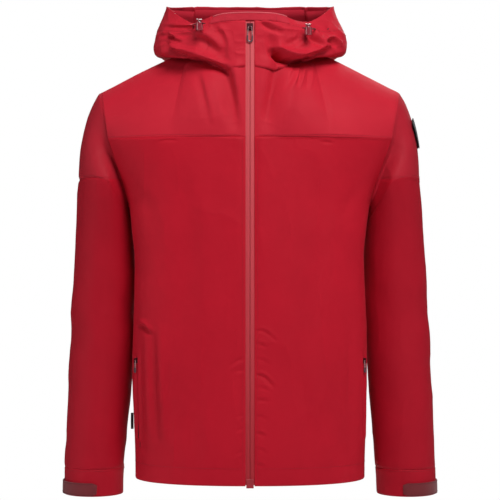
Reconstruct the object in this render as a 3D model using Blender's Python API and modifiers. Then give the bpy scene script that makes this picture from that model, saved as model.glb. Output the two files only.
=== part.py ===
"""Men's hardshell jacket: sewn panels, hood, zips, cord locks and cuff tabs as separate parts.

Metres, +Z up. The front faces -Y and the wearer's left is +X. The shapes are described in a
garment frame whose z is the height above the cuffs' lower edge; the root empty then moves
everything so that the inside top of the hang loop is the world's origin.
"""
import math

import bmesh
import bpy
from mathutils import Matrix, Vector

# ---------------------------------------------------------------- driving dimensions
HEM_Z = 0.032               # lower edge of the body
YOKE_Z = 0.616              # chest seam between panels and yokes
ARMPIT_Z = 0.505
FABRIC = 0.0012             # thickness of the laminated shell
SEAM_GAP = 0.0005           # half of the gap left between two sewn panels
ROUND = 0.85                # below 1 makes the body sections boxier than an ellipse
ARMHOLE_OPEN = 26.0         # degrees that the armhole takes from each body quarter
SHOULDER_TIP = Vector((0.262, 0.005, 0.700))
HANG_POINT = Vector((0.0, 0.066, 0.8025))

ZIP_FOOT_Y = -0.150         # front line of the zip at height ZIP_FOOT_Z
ZIP_FOOT_Z = 0.030
ZIP_LEAN = 0.057            # how far the line runs back for each metre up
ZIP_EDGE_X = 0.0075         # half width of the zip channel between the fronts
SLIDER_Z = 0.802

CUFF_TOP_Z = 0.046

POCKET_ANGLE = 74.0         # place of the pocket zips round the body, from the front
POCKET_LOW_Z = 0.095
POCKET_HIGH_Z = 0.250
POCKET_SLOT = 0.0120

CORD_RADIUS = 0.0011

# Heights with one or more sizes each; a smooth curve runs through every list.
BODY_EDGE_X = [(0.032, 0.199), (0.10, 0.2005), (0.24, 0.201), (0.41, 0.197),
               (0.46, 0.202), (0.505, 0.209), (0.55, 0.222), (0.616, 0.245)]
BODY_MIDDLE_Y = [(0.032, -0.020), (0.25, -0.030), (0.45, -0.030), (0.505, -0.018), (0.616, 0.004)]
BODY_BACK_Y = [(0.032, 0.135), (0.25, 0.122), (0.45, 0.128), (0.616, 0.130)]
SLEEVE_OUTER_X = [(0.0, 0.3255), (0.105, 0.324), (0.189, 0.3206), (0.273, 0.317), (0.34, 0.314),
                  (0.404, 0.310), (0.462, 0.306), (0.5075, 0.303), (0.547, 0.2985)]
SLEEVE_MIDDLE_X = [(0.0, 0.2735), (0.10, 0.268), (0.30, 0.258), (0.45, 0.250), (0.547, 0.243)]
SLEEVE_INNER_X = [(0.0, 0.222), (0.035, 0.221), (0.24, 0.2035), (0.32, 0.1990), (0.40, 0.1995),
                  (0.47, 0.2040), (0.515, 0.208), (0.547, 0.209)]
SLEEVE_MIDDLE_Y = [(0.0, 0.005), (0.10, 0.015), (0.30, 0.030), (0.45, 0.026), (0.547, 0.012)]
SLEEVE_HALF_DEPTH = [(0.0, 0.055), (0.10, 0.058), (0.30, 0.065), (0.45, 0.070), (0.547, 0.078)]
SLEEVE_SEAM_Z = [(0.0, 0.547), (80.0, 0.547), (120.0, 0.513), (150.0, 0.484), (180.0, 0.470)]

# Guide curves round the neck: angle from the front, then x, y, z.
NECK_GUIDE = [(0, 0.0, -0.1096, 0.738), (25, 0.044, -0.1045, 0.733), (45, 0.076, -0.086, 0.740),
              (65, 0.096, -0.055, 0.757), (90, 0.104, -0.010, 0.7775), (115, 0.094, 0.034, 0.786),
              (145, 0.055, 0.069, 0.791), (180, 0.0, 0.080, 0.793)]
LOW_GUIDE = [(0, 0.0, -0.1077, 0.772), (25, 0.047, -0.1045, 0.766), (45, 0.088, -0.092, 0.757),
             (65, 0.128, -0.062, 0.757), (90, 0.153, -0.010, 0.7630), (115, 0.142, 0.058, 0.760),
             (145, 0.085, 0.122, 0.724), (180, 0.0, 0.144, 0.703)]
HIGH_GUIDE = [(0, 0.0, -0.1060, 0.803), (25, 0.047, -0.103, 0.801), (45, 0.086, -0.0935, 0.795),
              (65, 0.128, -0.067, 0.788), (90, 0.1665, -0.010, 0.786), (115, 0.160, 0.070, 0.783),
              (145, 0.105, 0.145, 0.760), (180, 0.0, 0.174, 0.748)]
RIM_GUIDE = [(0, 0.0, -0.1045, 0.8265), (25, 0.045, -0.099, 0.825), (45, 0.072, -0.0865, 0.819),
             (65, 0.103, -0.060, 0.817), (90, 0.143, -0.010, 0.848), (115, 0.140, 0.050, 0.857),
             (145, 0.090, 0.086, 0.862), (180, 0.0, 0.098, 0.864)]
COLLAR_END = 38.0           # seam between the collar fronts and the hood sides
CENTRE_SEAM = 140.0         # seam between the hood sides and the hood centre
BAND_LOW = 0.80             # the chin band's lower edge, as a share of the collar's height

# colour, roughness, metallic
FINISHES = {
    "shell_upper": ((0.52, 0.020, 0.040), 0.62, 0.0),
    "shell_lower": ((0.38, 0.010, 0.028), 0.62, 0.0),
    "lining": ((0.30, 0.030, 0.045), 0.80, 0.0),
    "zip_tape": ((0.42, 0.060, 0.075), 0.40, 0.0),
    "zip_coil": ((0.20, 0.020, 0.030), 0.45, 0.0),
    "metal": ((0.20, 0.19, 0.19), 0.35, 1.0),
    "pull_cord": ((0.60, 0.55, 0.55), 0.80, 0.0),
    "pull_end": ((0.16, 0.15, 0.16), 0.50, 0.0),
    "cord": ((0.10, 0.012, 0.018), 0.85, 0.0),
    "lock_plastic": ((0.12, 0.012, 0.020), 0.30, 0.0),
    "spring_steel": ((0.55, 0.55, 0.57), 0.25, 1.0),
    "tab": ((0.16, 0.012, 0.022), 0.70, 0.0),
    "label": ((0.02, 0.02, 0.022), 0.60, 0.0),
    "mesh": ((0.10, 0.10, 0.11), 0.90, 0.0),
}


# ---------------------------------------------------------------- scene helpers
def clear_scene():
    for obj in list(bpy.data.objects):
        bpy.data.objects.remove(obj, do_unlink=True)


def new_collection(name):
    collection = bpy.data.collections.new(name)
    bpy.context.scene.collection.children.link(collection)
    return collection


def make_materials():
    materials = {}
    for name, (colour, roughness, metallic) in FINISHES.items():
        material = bpy.data.materials.new(name)
        material.use_nodes = True
        shader = material.node_tree.nodes["Principled BSDF"]
        shader.inputs["Base Color"].default_value = (*colour, 1.0)
        shader.inputs["Roughness"].default_value = roughness
        shader.inputs["Metallic"].default_value = metallic
        materials[name] = material
    return materials


clear_scene()
PARTS = new_collection("hardshell_jacket")
CUTTERS = new_collection("cutters")
MATERIALS = make_materials()


def add_empty(name, location, parent):
    """An empty in the garment frame, on which moving pieces have their joint's axis."""
    empty = bpy.data.objects.new(name, None)
    empty.empty_display_size = 0.01
    empty.location = location
    empty.parent = parent
    PARTS.objects.link(empty)
    return empty


ROOT = add_empty("jacket_root", -HANG_POINT, None)


def add_mesh(name, mesh, finish, pivot=None, collection=PARTS):
    """Link a mesh given in the garment frame, under the root or under a joint's empty."""
    if pivot is not None:
        mesh.transform(Matrix.Translation(-pivot.location))
    obj = bpy.data.objects.new(name, mesh)
    obj.parent = pivot or ROOT
    collection.objects.link(obj)
    if finish:
        mesh.materials.append(MATERIALS[finish])
    return obj


def from_bmesh(bm, name):
    mesh = bpy.data.meshes.new(name)
    bm.to_mesh(mesh)
    bm.free()
    return mesh


def add_cutter(name, mesh, pivot=None):
    cutter = add_mesh(name, mesh, None, pivot, CUTTERS)
    cutter.hide_render = True
    cutter.display_type = "WIRE"
    return cutter


def boolean(obj, cutter, operation):
    modifier = obj.modifiers.new(operation.lower(), "BOOLEAN")
    modifier.operation = operation
    modifier.solver = "EXACT"
    modifier.object = cutter


def round_edges(obj, width, segments=2):
    modifier = obj.modifiers.new("rounding", "BEVEL")
    modifier.width = width
    modifier.segments = segments
    modifier.limit_method = "ANGLE"
    modifier.angle_limit = math.radians(40)


def box_mesh(name, low, high, matrix=None):
    """A box between two corners of a local frame, moved by matrix."""
    low, high = Vector(low), Vector(high)
    bm = bmesh.new()
    bmesh.ops.create_cube(bm, size=1.0)
    bmesh.ops.scale(bm, vec=high - low, verts=bm.verts)
    bmesh.ops.translate(bm, vec=(low + high) / 2, verts=bm.verts)
    if matrix is not None:
        bm.transform(matrix)
    return from_bmesh(bm, name)


def rod_mesh(name, radius, start, end, sides=16):
    """A round bar between two points."""
    start, end = Vector(start), Vector(end)
    bm = bmesh.new()
    bmesh.ops.create_cone(bm, cap_ends=True, segments=sides, radius1=radius, radius2=radius,
                          depth=(end - start).length)
    turn = Vector((0, 0, 1)).rotation_difference(end - start).to_matrix().to_4x4()
    bm.transform(Matrix.Translation((start + end) / 2) @ turn)
    return from_bmesh(bm, name)


def add_tube(name, points, radius, finish, pivot=None, sides_level=2):
    """A round cord or wire through the points, with flat caps."""
    shift = pivot.location if pivot is not None else Vector()
    curve = bpy.data.curves.new(name, "CURVE")
    curve.dimensions = "3D"
    curve.bevel_depth = radius
    curve.bevel_resolution = sides_level
    curve.use_fill_caps = True
    spline = curve.splines.new("POLY")
    spline.points.add(len(points) - 1)
    for knot, point in zip(spline.points, points):
        knot.co = (*(Vector(point) - shift), 1.0)
    curve.materials.append(MATERIALS[finish])
    obj = bpy.data.objects.new(name, curve)
    obj.parent = pivot or ROOT
    PARTS.objects.link(obj)
    return obj


def add_turned(name, profile, centre, finish, pivot=None, steps=28):
    """A piece turned about the vertical through centre; profile is (radius, height) pairs."""
    mesh = bpy.data.meshes.new(name)
    vertices = [(radius, 0.0, height) for radius, height in profile]
    edges = [(index, index + 1) for index in range(len(profile) - 1)]
    mesh.from_pydata(vertices, edges, [])
    mesh.materials.append(MATERIALS[finish])
    obj = bpy.data.objects.new(name, mesh)
    obj.parent = pivot or ROOT
    obj.location = Vector(centre) - (pivot.location if pivot is not None else Vector())
    PARTS.objects.link(obj)
    screw = obj.modifiers.new("turn", "SCREW")
    screw.steps = steps
    screw.render_steps = steps
    screw.use_merge_vertices = True
    screw.merge_threshold = 0.00005
    screw.use_smooth_shade = True
    return obj


# ---------------------------------------------------------------- curves through stations
def through(stations, place):
    """Smooth value at a place; stations are (place, value, ...) with one or more values."""
    place = min(max(place, stations[0][0]), stations[-1][0])
    index = 0
    while index < len(stations) - 2 and place > stations[index + 1][0]:
        index += 1
    here, there = stations[index], stations[index + 1]
    before = stations[max(index - 1, 0)]
    after = stations[min(index + 2, len(stations) - 1)]
    span = there[0] - here[0]
    share = (place - here[0]) / span
    values = []
    for axis in range(1, len(here)):
        slope_here = (there[axis] - before[axis]) / (there[0] - before[0])
        slope_there = (after[axis] - here[axis]) / (after[0] - here[0])
        values.append(hermite(here[axis], there[axis], slope_here * span, slope_there * span, share))
    return values[0] if len(values) == 1 else Vector(values)


def hermite(start, end, start_slope, end_slope, share):
    square, cube = share * share, share ** 3
    return (start * (2 * cube - 3 * square + 1) + end * (3 * square - 2 * cube)
            + start_slope * (cube - 2 * square + share) + end_slope * (cube - square))


def smooth_step(share):
    share = min(max(share, 0.0), 1.0)
    return share * share * (3 - 2 * share)


def along(points):
    """Stations whose places are the distances walked from point to point."""
    stations, walked, last = [], 0.0, Vector(points[0])
    for point in points:
        walked += (Vector(point) - last).length
        last = Vector(point)
        stations.append((walked, *point))
    return stations


def resample(points, count):
    """Points at even steps along the smooth curve through the given ones."""
    route = along(points)
    fine = along([through(route, route[-1][0] * step / 400) for step in range(401)])
    return [through(fine, fine[-1][0] * step / (count - 1)) for step in range(count)]


# ---------------------------------------------------------------- body surface
def zip_y(z):
    return ZIP_FOOT_Y + ZIP_LEAN * (z - ZIP_FOOT_Z)


def body_limit(z):
    """Angle, from the front or the back, at which a body quarter ends at height z."""
    rise = max(0.0, (z - ARMPIT_Z) / (YOKE_Z - ARMPIT_Z))
    return math.radians(90.0 - ARMHOLE_OPEN * rise ** 0.6)


def body_point(angle, z, back=False):
    """Outer surface of the body; angle runs from the centre line to the side."""
    reach = through(BODY_EDGE_X, z) / math.sin(body_limit(z)) ** ROUND
    middle = through(BODY_MIDDLE_Y, z)
    depth = through(BODY_BACK_Y, z) - middle if back else zip_y(z) - middle
    across = reach * max(math.sin(angle), 0.0) ** ROUND
    return Vector((across, middle + depth * max(math.cos(angle), 0.0) ** ROUND, z))


def body_edge(z, back=False):
    return body_point(body_limit(z), z, back)


def neck_point(angle):
    """Neck seam at an angle in degrees from the front."""
    return through(mirrored(NECK_GUIDE), angle)


def mirrored(guide):
    """The guide with its mirror image in front and behind, so that it is smooth at both ends."""
    lead = [(-guide[1][0], -guide[1][1], guide[1][2], guide[1][3])]
    tail = [(360 - guide[-2][0], -guide[-2][1], guide[-2][2], guide[-2][3])]
    return lead + guide + tail


def yoke_point(across, up, back=False):
    """Yoke surface: across runs from the centre line to the armhole, up from seam to shoulder."""
    neck_share = 0.42
    low = body_point(across * body_limit(YOKE_Z), YOKE_Z, back)
    if across < neck_share:
        turn = 90.0 * across / neck_share
        high = neck_point(180.0 - turn if back else turn)
    else:
        high = neck_point(90.0).lerp(SHOULDER_TIP, (across - neck_share) / (1 - neck_share))
    bulge = 4 * up * (1 - up) * smooth_step(across / 0.4)
    out = Vector((0.0, 0.018 if back else -0.018, 0.008))
    if back:
        bulge = 4 * up * (1 - up) * (0.5 + 0.5 * smooth_step(across / 0.4))
    return low.lerp(high, up) + out * bulge


# ---------------------------------------------------------------- sleeve surface
def armhole_point(turn):
    """Armhole edge; turn is 0 at the shoulder, 90 at the front and 180 at the armpit."""
    turn = turn % 360.0
    back = turn > 180.0
    turn = 360.0 - turn if back else turn
    if turn < 60.0:
        return yoke_point(1.0, 1.0 - turn / 60.0, back)
    rest = 1.0 - (turn - 60.0) / 120.0
    return body_edge(ARMPIT_Z + (YOKE_Z - ARMPIT_Z) * rest ** 1.6, back)


def sleeve_point(turn, z, grow=0.0):
    """Sleeve section at a height; turn 0 faces outward, 90 forward; grow moves it outward."""
    cosine, sine = math.cos(math.radians(turn)), math.sin(math.radians(turn))
    middle = through(SLEEVE_MIDDLE_X, z)
    if cosine > 0:
        half_width = through(SLEEVE_OUTER_X, z) - middle
    else:
        half_width = middle - through(SLEEVE_INNER_X, z)
    half_depth = through(SLEEVE_HALF_DEPTH, z) + grow
    y = through(SLEEVE_MIDDLE_Y, z) - half_depth * sine
    return Vector((middle + (half_width + grow) * cosine, y, z))


def seam_height(turn):
    turn = turn % 360.0
    return through(SLEEVE_SEAM_Z, 360.0 - turn if turn > 180.0 else turn)


def cap_point(turn, down, grow=0.0):
    """Sleeve cap from the armhole (down 0) to the sleeve seam (down 1)."""
    armpit_share = (1 - math.cos(math.radians(turn))) / 2
    start = armhole_point(turn) + Vector((0.0012 + 0.0022 * armpit_share, 0.0, 0.0))
    end = sleeve_point(turn, seam_height(turn), grow)
    bend = end + Vector((0.0, 0.0, (start.z - end.z) * 0.67))
    return (start * (1 - down) ** 2 + bend * 2 * down * (1 - down) + end * down ** 2
            + Vector((grow, 0.0, grow * 0.3)) * (1 - down))


# ---------------------------------------------------------------- hood surface
def hood_point(angle, up):
    """Hood and collar: angle from the front in degrees, up from the neck seam to the rim."""
    lift = Vector((0.0, 0.0, 0.0035))
    guides = [neck_point(angle) + lift]
    guides += [through(mirrored(guide), angle) for guide in (LOW_GUIDE, HIGH_GUIDE, RIM_GUIDE)]
    stations = [(index / 3, *point) for index, point in enumerate(guides)]
    return through(stations, up)


def hood_out(angle):
    """Horizontal direction away from the neck at an angle."""
    point = hood_point(angle, 0.9)
    return Vector((point.x, point.y + 0.01, 0.0)).normalized()


def hood_under(angle, up, depth):
    """A point inside the hood, straight in from its surface by the depth."""
    step = 0.02
    low, high = min(up, 1 - step), min(up + step, 1.0)
    along = hood_point(angle + 1, up) - hood_point(angle - 1, up)
    rise = hood_point(angle, high) - hood_point(angle, low)
    out = along.cross(rise).normalized()
    return hood_point(angle, up) - out * depth


# ---------------------------------------------------------------- sheets
def add_sheet(name, surface, rows, columns, finish, inside, thickness=FABRIC, closed=False,
              pivot=None):
    """A sewn panel: surface(row share, column share), thickened towards the inside point."""
    bm = bmesh.new()
    count = columns if closed else columns + 1
    grid = [[bm.verts.new(surface(row / rows, column / columns)) for column in range(count)]
            for row in range(rows + 1)]
    for row in range(rows):
        for column in range(columns):
            right = (column + 1) % count
            bm.faces.new((grid[row][column], grid[row][right],
                          grid[row + 1][right], grid[row + 1][column]))
    bm.normal_update()
    facing = sum(face.normal.dot(face.calc_center_median() - Vector(inside)) for face in bm.faces)
    if facing < 0:
        bmesh.ops.reverse_faces(bm, faces=bm.faces)
    obj = add_mesh(name, from_bmesh(bm, name), finish, pivot)
    solidify = obj.modifiers.new("thickness", "SOLIDIFY")
    solidify.thickness = thickness
    solidify.offset = -1.0
    obj.data.shade_smooth()
    return obj


def flip(point, side):
    return Vector((point.x * side, point.y, point.z))


def spread(low, high, share):
    return low + (high - low) * share


SIDES = (("left", 1.0), ("right", -1.0))


# ---------------------------------------------------------------- body panels
def panel_height(share):
    """Row heights, closer together where the armhole curves."""
    stations = [(0.0, HEM_Z), (0.66, ARMPIT_Z), (0.78, 0.532), (1.0, YOKE_Z - SEAM_GAP)]
    return through(stations, share)


def build_front_panel(name, side):
    def surface(row, column):
        z = panel_height(row)
        limit = body_limit(z) - SEAM_GAP / 0.2
        point = body_point(limit * column, z)
        point.x = max(point.x, ZIP_EDGE_X)
        return flip(point, side)
    panel = add_sheet("front_panel_" + name, surface, 15, 9, "shell_lower", (0, 0, 0.4))
    cut_pocket_slot(panel, name, side)


def build_back_panel():
    def surface(row, column):
        z = panel_height(row)
        limit = body_limit(z) - SEAM_GAP / 0.2
        share = column * 2 - 1
        return flip(body_point(limit * abs(share), z, back=True), 1.0 if share > 0 else -1.0)
    add_sheet("back_panel", surface, 15, 16, "shell_lower", (0, 0, 0.4))


def build_front_yoke(name, side):
    def surface(row, column):
        up = spread(0.004, 0.988, row)
        point = yoke_point(spread(0.0, 0.998, column), up)
        point.x = max(point.x, ZIP_EDGE_X)
        return flip(point, side)
    add_sheet("front_yoke_" + name, surface, 6, 10, "shell_upper", (0, 0, 0.5))


def build_back_yoke():
    def surface(row, column):
        share = column * 2 - 1
        up = spread(0.004, 0.988, row)
        point = yoke_point(abs(share) * 0.998, up, back=True)
        return flip(point, 1.0 if share > 0 else -1.0)
    add_sheet("back_yoke", surface, 6, 20, "shell_upper", (0, 0, 0.5))


def build_sleeve(name, side):
    def cap_surface(row, column):
        return flip(cap_point(360 * column, spread(0.0, 0.99, row)), side)

    def sleeve_surface(row, column):
        turn = 360 * column
        return flip(sleeve_point(turn, spread(seam_height(turn) - 0.0016, CUFF_TOP_Z, row)), side)

    def cuff_surface(row, column):
        return flip(sleeve_point(360 * column, spread(CUFF_TOP_Z - 0.0008, 0.0, row)), side)
    arm = side * 0.25
    add_sheet("sleeve_cap_" + name, cap_surface, 6, 20, "shell_upper", (arm, 0.01, 0.58), closed=True)
    add_sheet("sleeve_" + name, sleeve_surface, 10, 20, "shell_lower", (arm, 0.02, 0.3), closed=True)
    add_sheet("cuff_" + name, cuff_surface, 1, 20, "shell_lower", (side * 0.273, 0.0, 0.02),
              closed=True)


# ---------------------------------------------------------------- hood and collar
def build_hood():
    for name, side in SIDES:
        def collar(row, column, side=side):
            point = hood_point(spread(0.0, COLLAR_END - 0.3, column), spread(0.0, BAND_LOW - 0.01, row))
            point.x = max(point.x, ZIP_EDGE_X)
            return flip(point, side)

        def hood_side(row, column, side=side):
            angle = spread(COLLAR_END + 0.3, CENTRE_SEAM - 0.3, column)
            return flip(hood_point(angle, row), side)

        def hem(row, column, side=side):
            angle = spread(COLLAR_END + 2.0, CENTRE_SEAM - 1.0, column)
            return flip(hood_under(angle, spread(0.80, 0.985, row), HEM_DEPTH), side)
        add_sheet("collar_front_" + name, collar, 6, 6, "shell_upper", (side * 0.02, 0, 0.78))
        sewn = add_sheet("hood_side_" + name, hood_side, 10, 11, "shell_upper", (side * 0.1, 0.02, 0.83))
        cut_eyelet(sewn, side)
        add_sheet("hood_hem_" + name, hem, 1, 11, "lining", (side * 0.05, 0.0, 0.83), 0.0008)

    def ring(angle, up):
        side = 1.0 if angle < 180 else -1.0
        return flip(hood_point(angle if side > 0 else 360 - angle, up), side)

    def centre(row, column):
        return ring(spread(CENTRE_SEAM + 0.3, 360 - CENTRE_SEAM - 0.3, column), row)

    def visor(row, column):
        angle = spread(CENTRE_SEAM + 1.0, 360 - CENTRE_SEAM - 1.0, column)
        return ring(angle, spread(0.80, 0.985, row)) - Vector((0.0, 0.0040, 0.0))

    def band(row, column):
        angle = spread(-COLLAR_END + 0.3, COLLAR_END - 0.3, column)
        return flip(hood_point(abs(angle), spread(BAND_LOW, 1.0, row)), 1.0 if angle > 0 else -1.0)
    add_sheet("hood_centre", centre, 10, 10, "shell_upper", (0, 0.05, 0.83))
    add_sheet("hood_visor", visor, 1, 10, "lining", (0, 0.0, 0.83), 0.0020)
    add_sheet("chin_band", band, 1, 12, "lining", (0, 0, 0.82))


# ---------------------------------------------------------------- zips
def zip_frame(z):
    """Frame on the zip line: X across, Y into the jacket, Z up along the zip."""
    lean = math.atan(ZIP_LEAN)
    return Matrix.Translation((0.0, zip_y(z), z)) @ Matrix.Rotation(-lean, 4, "X")


def pocket_frame(side):
    """The same kind of frame on a pocket zip, at its middle."""
    low = body_point(math.radians(POCKET_ANGLE), POCKET_LOW_Z)
    high = body_point(math.radians(POCKET_ANGLE), POCKET_HIGH_Z)
    beside = body_point(math.radians(POCKET_ANGLE + 2), (POCKET_LOW_Z + POCKET_HIGH_Z) / 2)
    behind = body_point(math.radians(POCKET_ANGLE - 2), (POCKET_LOW_Z + POCKET_HIGH_Z) / 2)
    up = flip(high - low, side).normalized()
    across = flip(beside - behind, side).normalized() * side
    inward = up.cross(across).normalized()
    across = inward.cross(up).normalized()
    turn = Matrix((across, inward, up)).transposed().to_4x4()
    return Matrix.Translation(flip((low + high) / 2, side)) @ turn


TAPE_FRONT = 0.0021         # depths into the jacket from the front surface
TAPE_BACK = 0.0027
COIL_FRONT = 0.0030
COIL_BACK = 0.0045
PLATE_FRONT = 0.0003
BACK_PLATE = 0.0048
TEETH_GAP = 0.0007          # half of the gap that the slider's bridge runs in
BRIDGE = 0.0003
CROWN_REACH = 0.0030        # distance of the pull's axis in front of the jacket


def build_slider(name, frame, half_width, half_height, pivot):
    """Slider body of two plates on a thin bridge, with a crown that holds the pull."""
    outline = [(-half_width, PLATE_FRONT), (half_width, PLATE_FRONT),
               (half_width, PLATE_FRONT + 0.0014), (BRIDGE, PLATE_FRONT + 0.0014),
               (BRIDGE, BACK_PLATE), (half_width, BACK_PLATE),
               (half_width, BACK_PLATE + 0.0012), (-half_width, BACK_PLATE + 0.0012),
               (-half_width, BACK_PLATE), (-BRIDGE, BACK_PLATE),
               (-BRIDGE, PLATE_FRONT + 0.0014), (-half_width, PLATE_FRONT + 0.0014)]
    bm = bmesh.new()
    corners = [bm.verts.new((x, y, -half_height)) for x, y in outline]
    base = bm.faces.new(corners)
    top = bmesh.ops.extrude_face_region(bm, geom=[base])["geom"]
    moved = [item for item in top if isinstance(item, bmesh.types.BMVert)]
    bmesh.ops.translate(bm, vec=(0, 0, 2 * half_height), verts=moved)
    bmesh.ops.recalc_face_normals(bm, faces=bm.faces)
    bm.transform(frame)
    slider = add_mesh(name, from_bmesh(bm, name), "metal", pivot)
    crown = box_mesh(name + "_crown", (-0.0014, -CROWN_REACH - 0.0016, -0.0042),
                     (0.0014, PLATE_FRONT + 0.0006, 0.0042), frame)
    boolean(slider, add_cutter(name + "_crown", crown, pivot), "UNION")
    eye = rod_mesh(name + "_eye", 0.0012, frame @ Vector((-0.004, -CROWN_REACH, 0)),
                   frame @ Vector((0.004, -CROWN_REACH, 0)), 14)
    boolean(slider, add_cutter(name + "_eye", eye, pivot), "DIFFERENCE")
    round_edges(slider, 0.0001, 1)


def build_pull(name, frame, pivot, spread_x, drop, end_drop):
    """A thin cord through the slider's crown, down to a moulded U that closes the loop."""
    centre = frame @ Vector((0, -CROWN_REACH, 0))
    across = (frame.to_3x3() @ Vector((1, 0, 0))).normalized()
    down = Vector((0, 0, -1))
    legs = [(0.0, 0.0), (0.0018, 0.0), (0.0026, 0.0005), (0.0029, 0.0016), (spread_x, drop)]
    half = [centre + across * x + down * z for x, z in legs]
    other = [centre - across * x + down * z for x, z in reversed(legs[1:])]
    add_tube(name + "_cord", other + half, 0.0007, "pull_cord", pivot)
    bend = []
    for step in range(9):
        angle = math.pi * step / 8
        bend.append((spread_x * math.cos(angle), end_drop + spread_x * math.sin(angle)))
    outline = [(spread_x, drop + 0.0004)] + bend + [(-spread_x, drop + 0.0004)]
    points = [centre + across * x + down * z for x, z in outline]
    add_tube(name + "_end", points, 0.0013, "pull_end", pivot)


def build_main_zip():
    foot, top = 0.044, 0.811
    frame = zip_frame(foot)
    length = (top - foot) * math.hypot(1.0, ZIP_LEAN)
    for name, side in SIDES:
        inner, outer, coil = TEETH_GAP * side, 0.0130 * side, 0.0034 * side
        tape = box_mesh("zip_tape", (min(inner, outer), TAPE_FRONT, 0),
                        (max(inner, outer), TAPE_BACK, length), frame)
        add_mesh("zip_tape_" + name, tape, "zip_tape")
        rail = box_mesh("zip_coil", (min(inner, coil), COIL_FRONT, 0.0005),
                        (max(inner, coil), COIL_BACK, length - 0.0005), frame)
        add_mesh("zip_coil_" + name, rail, "zip_coil")
    box = add_mesh("zip_box", box_mesh("zip_box", (-0.0062, 0.0006, -0.0155),
                                       (0.0062, 0.0058, -0.0004), frame), "zip_coil")
    round_edges(box, 0.0006)
    slider_frame = zip_frame(SLIDER_Z)
    pivot = add_empty("main_slider_axis", slider_frame.translation, ROOT)
    build_slider("main_slider", slider_frame, 0.0052, 0.0062, pivot)
    pull_axis = add_empty("main_pull_axis", slider_frame @ Vector((0, -CROWN_REACH, 0)), ROOT)
    build_pull("main_pull", slider_frame, pull_axis, 0.0040, 0.0150, 0.0215)
    flap = box_mesh("storm_flap", (-0.020, 0.0085, 0.004), (0.024, 0.0095, length - 0.020), frame)
    add_mesh("storm_flap", flap, "lining")


def pocket_half_length():
    return (POCKET_HIGH_Z - POCKET_LOW_Z) / 2


def cut_pocket_slot(panel, name, side):
    half = pocket_half_length()
    slot = box_mesh("slot", (-POCKET_SLOT / 2, -0.006, -half), (POCKET_SLOT / 2, 0.006, half),
                    pocket_frame(side))
    boolean(panel, add_cutter("pocket_slot_" + name, slot), "DIFFERENCE")


def build_pocket(name, side):
    frame = pocket_frame(side)
    half = pocket_half_length() + 0.006
    tape = add_mesh("pocket_tape_" + name, box_mesh("tape", (-0.0090, TAPE_FRONT + 0.0008, -half),
                                                    (0.0090, COIL_BACK, half), frame), "zip_coil")
    track = box_mesh("track", (-TEETH_GAP, 0.0, -half + 0.008), (TEETH_GAP, 0.0080, half - 0.008),
                     frame)
    boolean(tape, add_cutter("pocket_track_" + name, track), "DIFFERENCE")
    place = frame @ Matrix.Translation((0, 0.0, half - 0.020))
    slide = add_empty("pocket_slider_axis_" + name, place.translation, ROOT)
    build_slider("pocket_slider_" + name, place, 0.0042, 0.0050, slide)
    pull_axis = add_empty("pocket_pull_axis_" + name, place @ Vector((0, -CROWN_REACH, 0)), ROOT)
    build_pull("pocket_pull_" + name, place, pull_axis, 0.0032, 0.0120, 0.0170)

    def bag(row, column):
        """Sheet inside the body that closes the pocket behind the front panel."""
        z = spread(0.070, 0.262, row)
        angle = math.radians(spread(28.0, 82.0, column))
        point = body_point(angle, z)
        middle = Vector((0.0, through(BODY_MIDDLE_Y, z), z))
        return flip(point + (middle - point).normalized() * 0.0105, side)
    add_sheet("pocket_bag_" + name, bag, 6, 7, "mesh", (0, 0, 0.16), 0.0008)


# ---------------------------------------------------------------- cord locks and cords
LOCK_HOLE_Z = 0.0115        # height of the cord's hole above the lock's foot
LOCK_CUP = [(0.0, 0.0015), (0.0040, 0.0015), (0.0040, 0.0142), (0.0059, 0.0142), (0.0064, 0.0130),
            (0.0064, 0.0010), (0.0055, 0.0), (0.0, 0.0)]
LOCK_BUTTON = [(0.0, 0.0198), (0.0036, 0.0194), (0.0054, 0.0185), (0.0058, 0.0172),
               (0.0058, 0.0170), (0.0036, 0.0170), (0.0036, 0.0082), (0.0, 0.0082)]
LOCK_SLOT_LOW = (-0.007, -0.0014, 0.0098)
LOCK_SLOT_HIGH = (0.007, 0.0014, 0.0154)


def build_cord_lock(name, centre, tangent):
    """Barrel lock: a cup, a spring in its bottom and a button whose slotted stem grips the cord."""
    body = add_turned("cord_lock_body_" + name, LOCK_CUP, centre, "lock_plastic")
    hole_centre = centre + Vector((0, 0, LOCK_HOLE_Z))
    hole = rod_mesh("hole", 0.0018, hole_centre - tangent * 0.01, hole_centre + tangent * 0.01)
    boolean(body, add_cutter("cord_lock_hole_" + name, hole), "DIFFERENCE")
    axis = add_empty("cord_lock_axis_" + name, centre, ROOT)
    button = add_turned("cord_lock_button_" + name, LOCK_BUTTON, centre, "lock_plastic", axis)
    turn = Matrix.Rotation(math.atan2(tangent.y, tangent.x), 4, "Z")
    slot = box_mesh("slot", LOCK_SLOT_LOW, LOCK_SLOT_HIGH, Matrix.Translation(centre) @ turn)
    boolean(button, add_cutter("cord_lock_slot_" + name, slot), "DIFFERENCE")
    build_lock_spring(name, centre)


def build_lock_spring(name, centre):
    turns, per_turn, radius, low, high = 4, 12, 0.0027, 0.0021, 0.0076
    coil = []
    for step in range(turns * per_turn + 1):
        angle = 2 * math.pi * step / per_turn
        height = low + (high - low) * step / (turns * per_turn)
        coil.append(centre + Vector((radius * math.cos(angle), radius * math.sin(angle), height)))
    add_tube("cord_lock_spring_" + name, coil, 0.0003, "spring_steel", None, 1)


TUNNEL_DEPTH = 0.0042       # the drawcord's axis under the hood's surface
HEM_DEPTH = 0.0082          # the facing that closes the tunnel
LOCK_STAND_OFF = 0.0078     # the lock's axis in front of the hood
LOCK_HEIGHT = 0.0198
EYELET_TURN = 11.0          # degrees from a lock to the eyelet that its cord comes out of
EYELET_RADIUS = 0.0021
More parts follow.
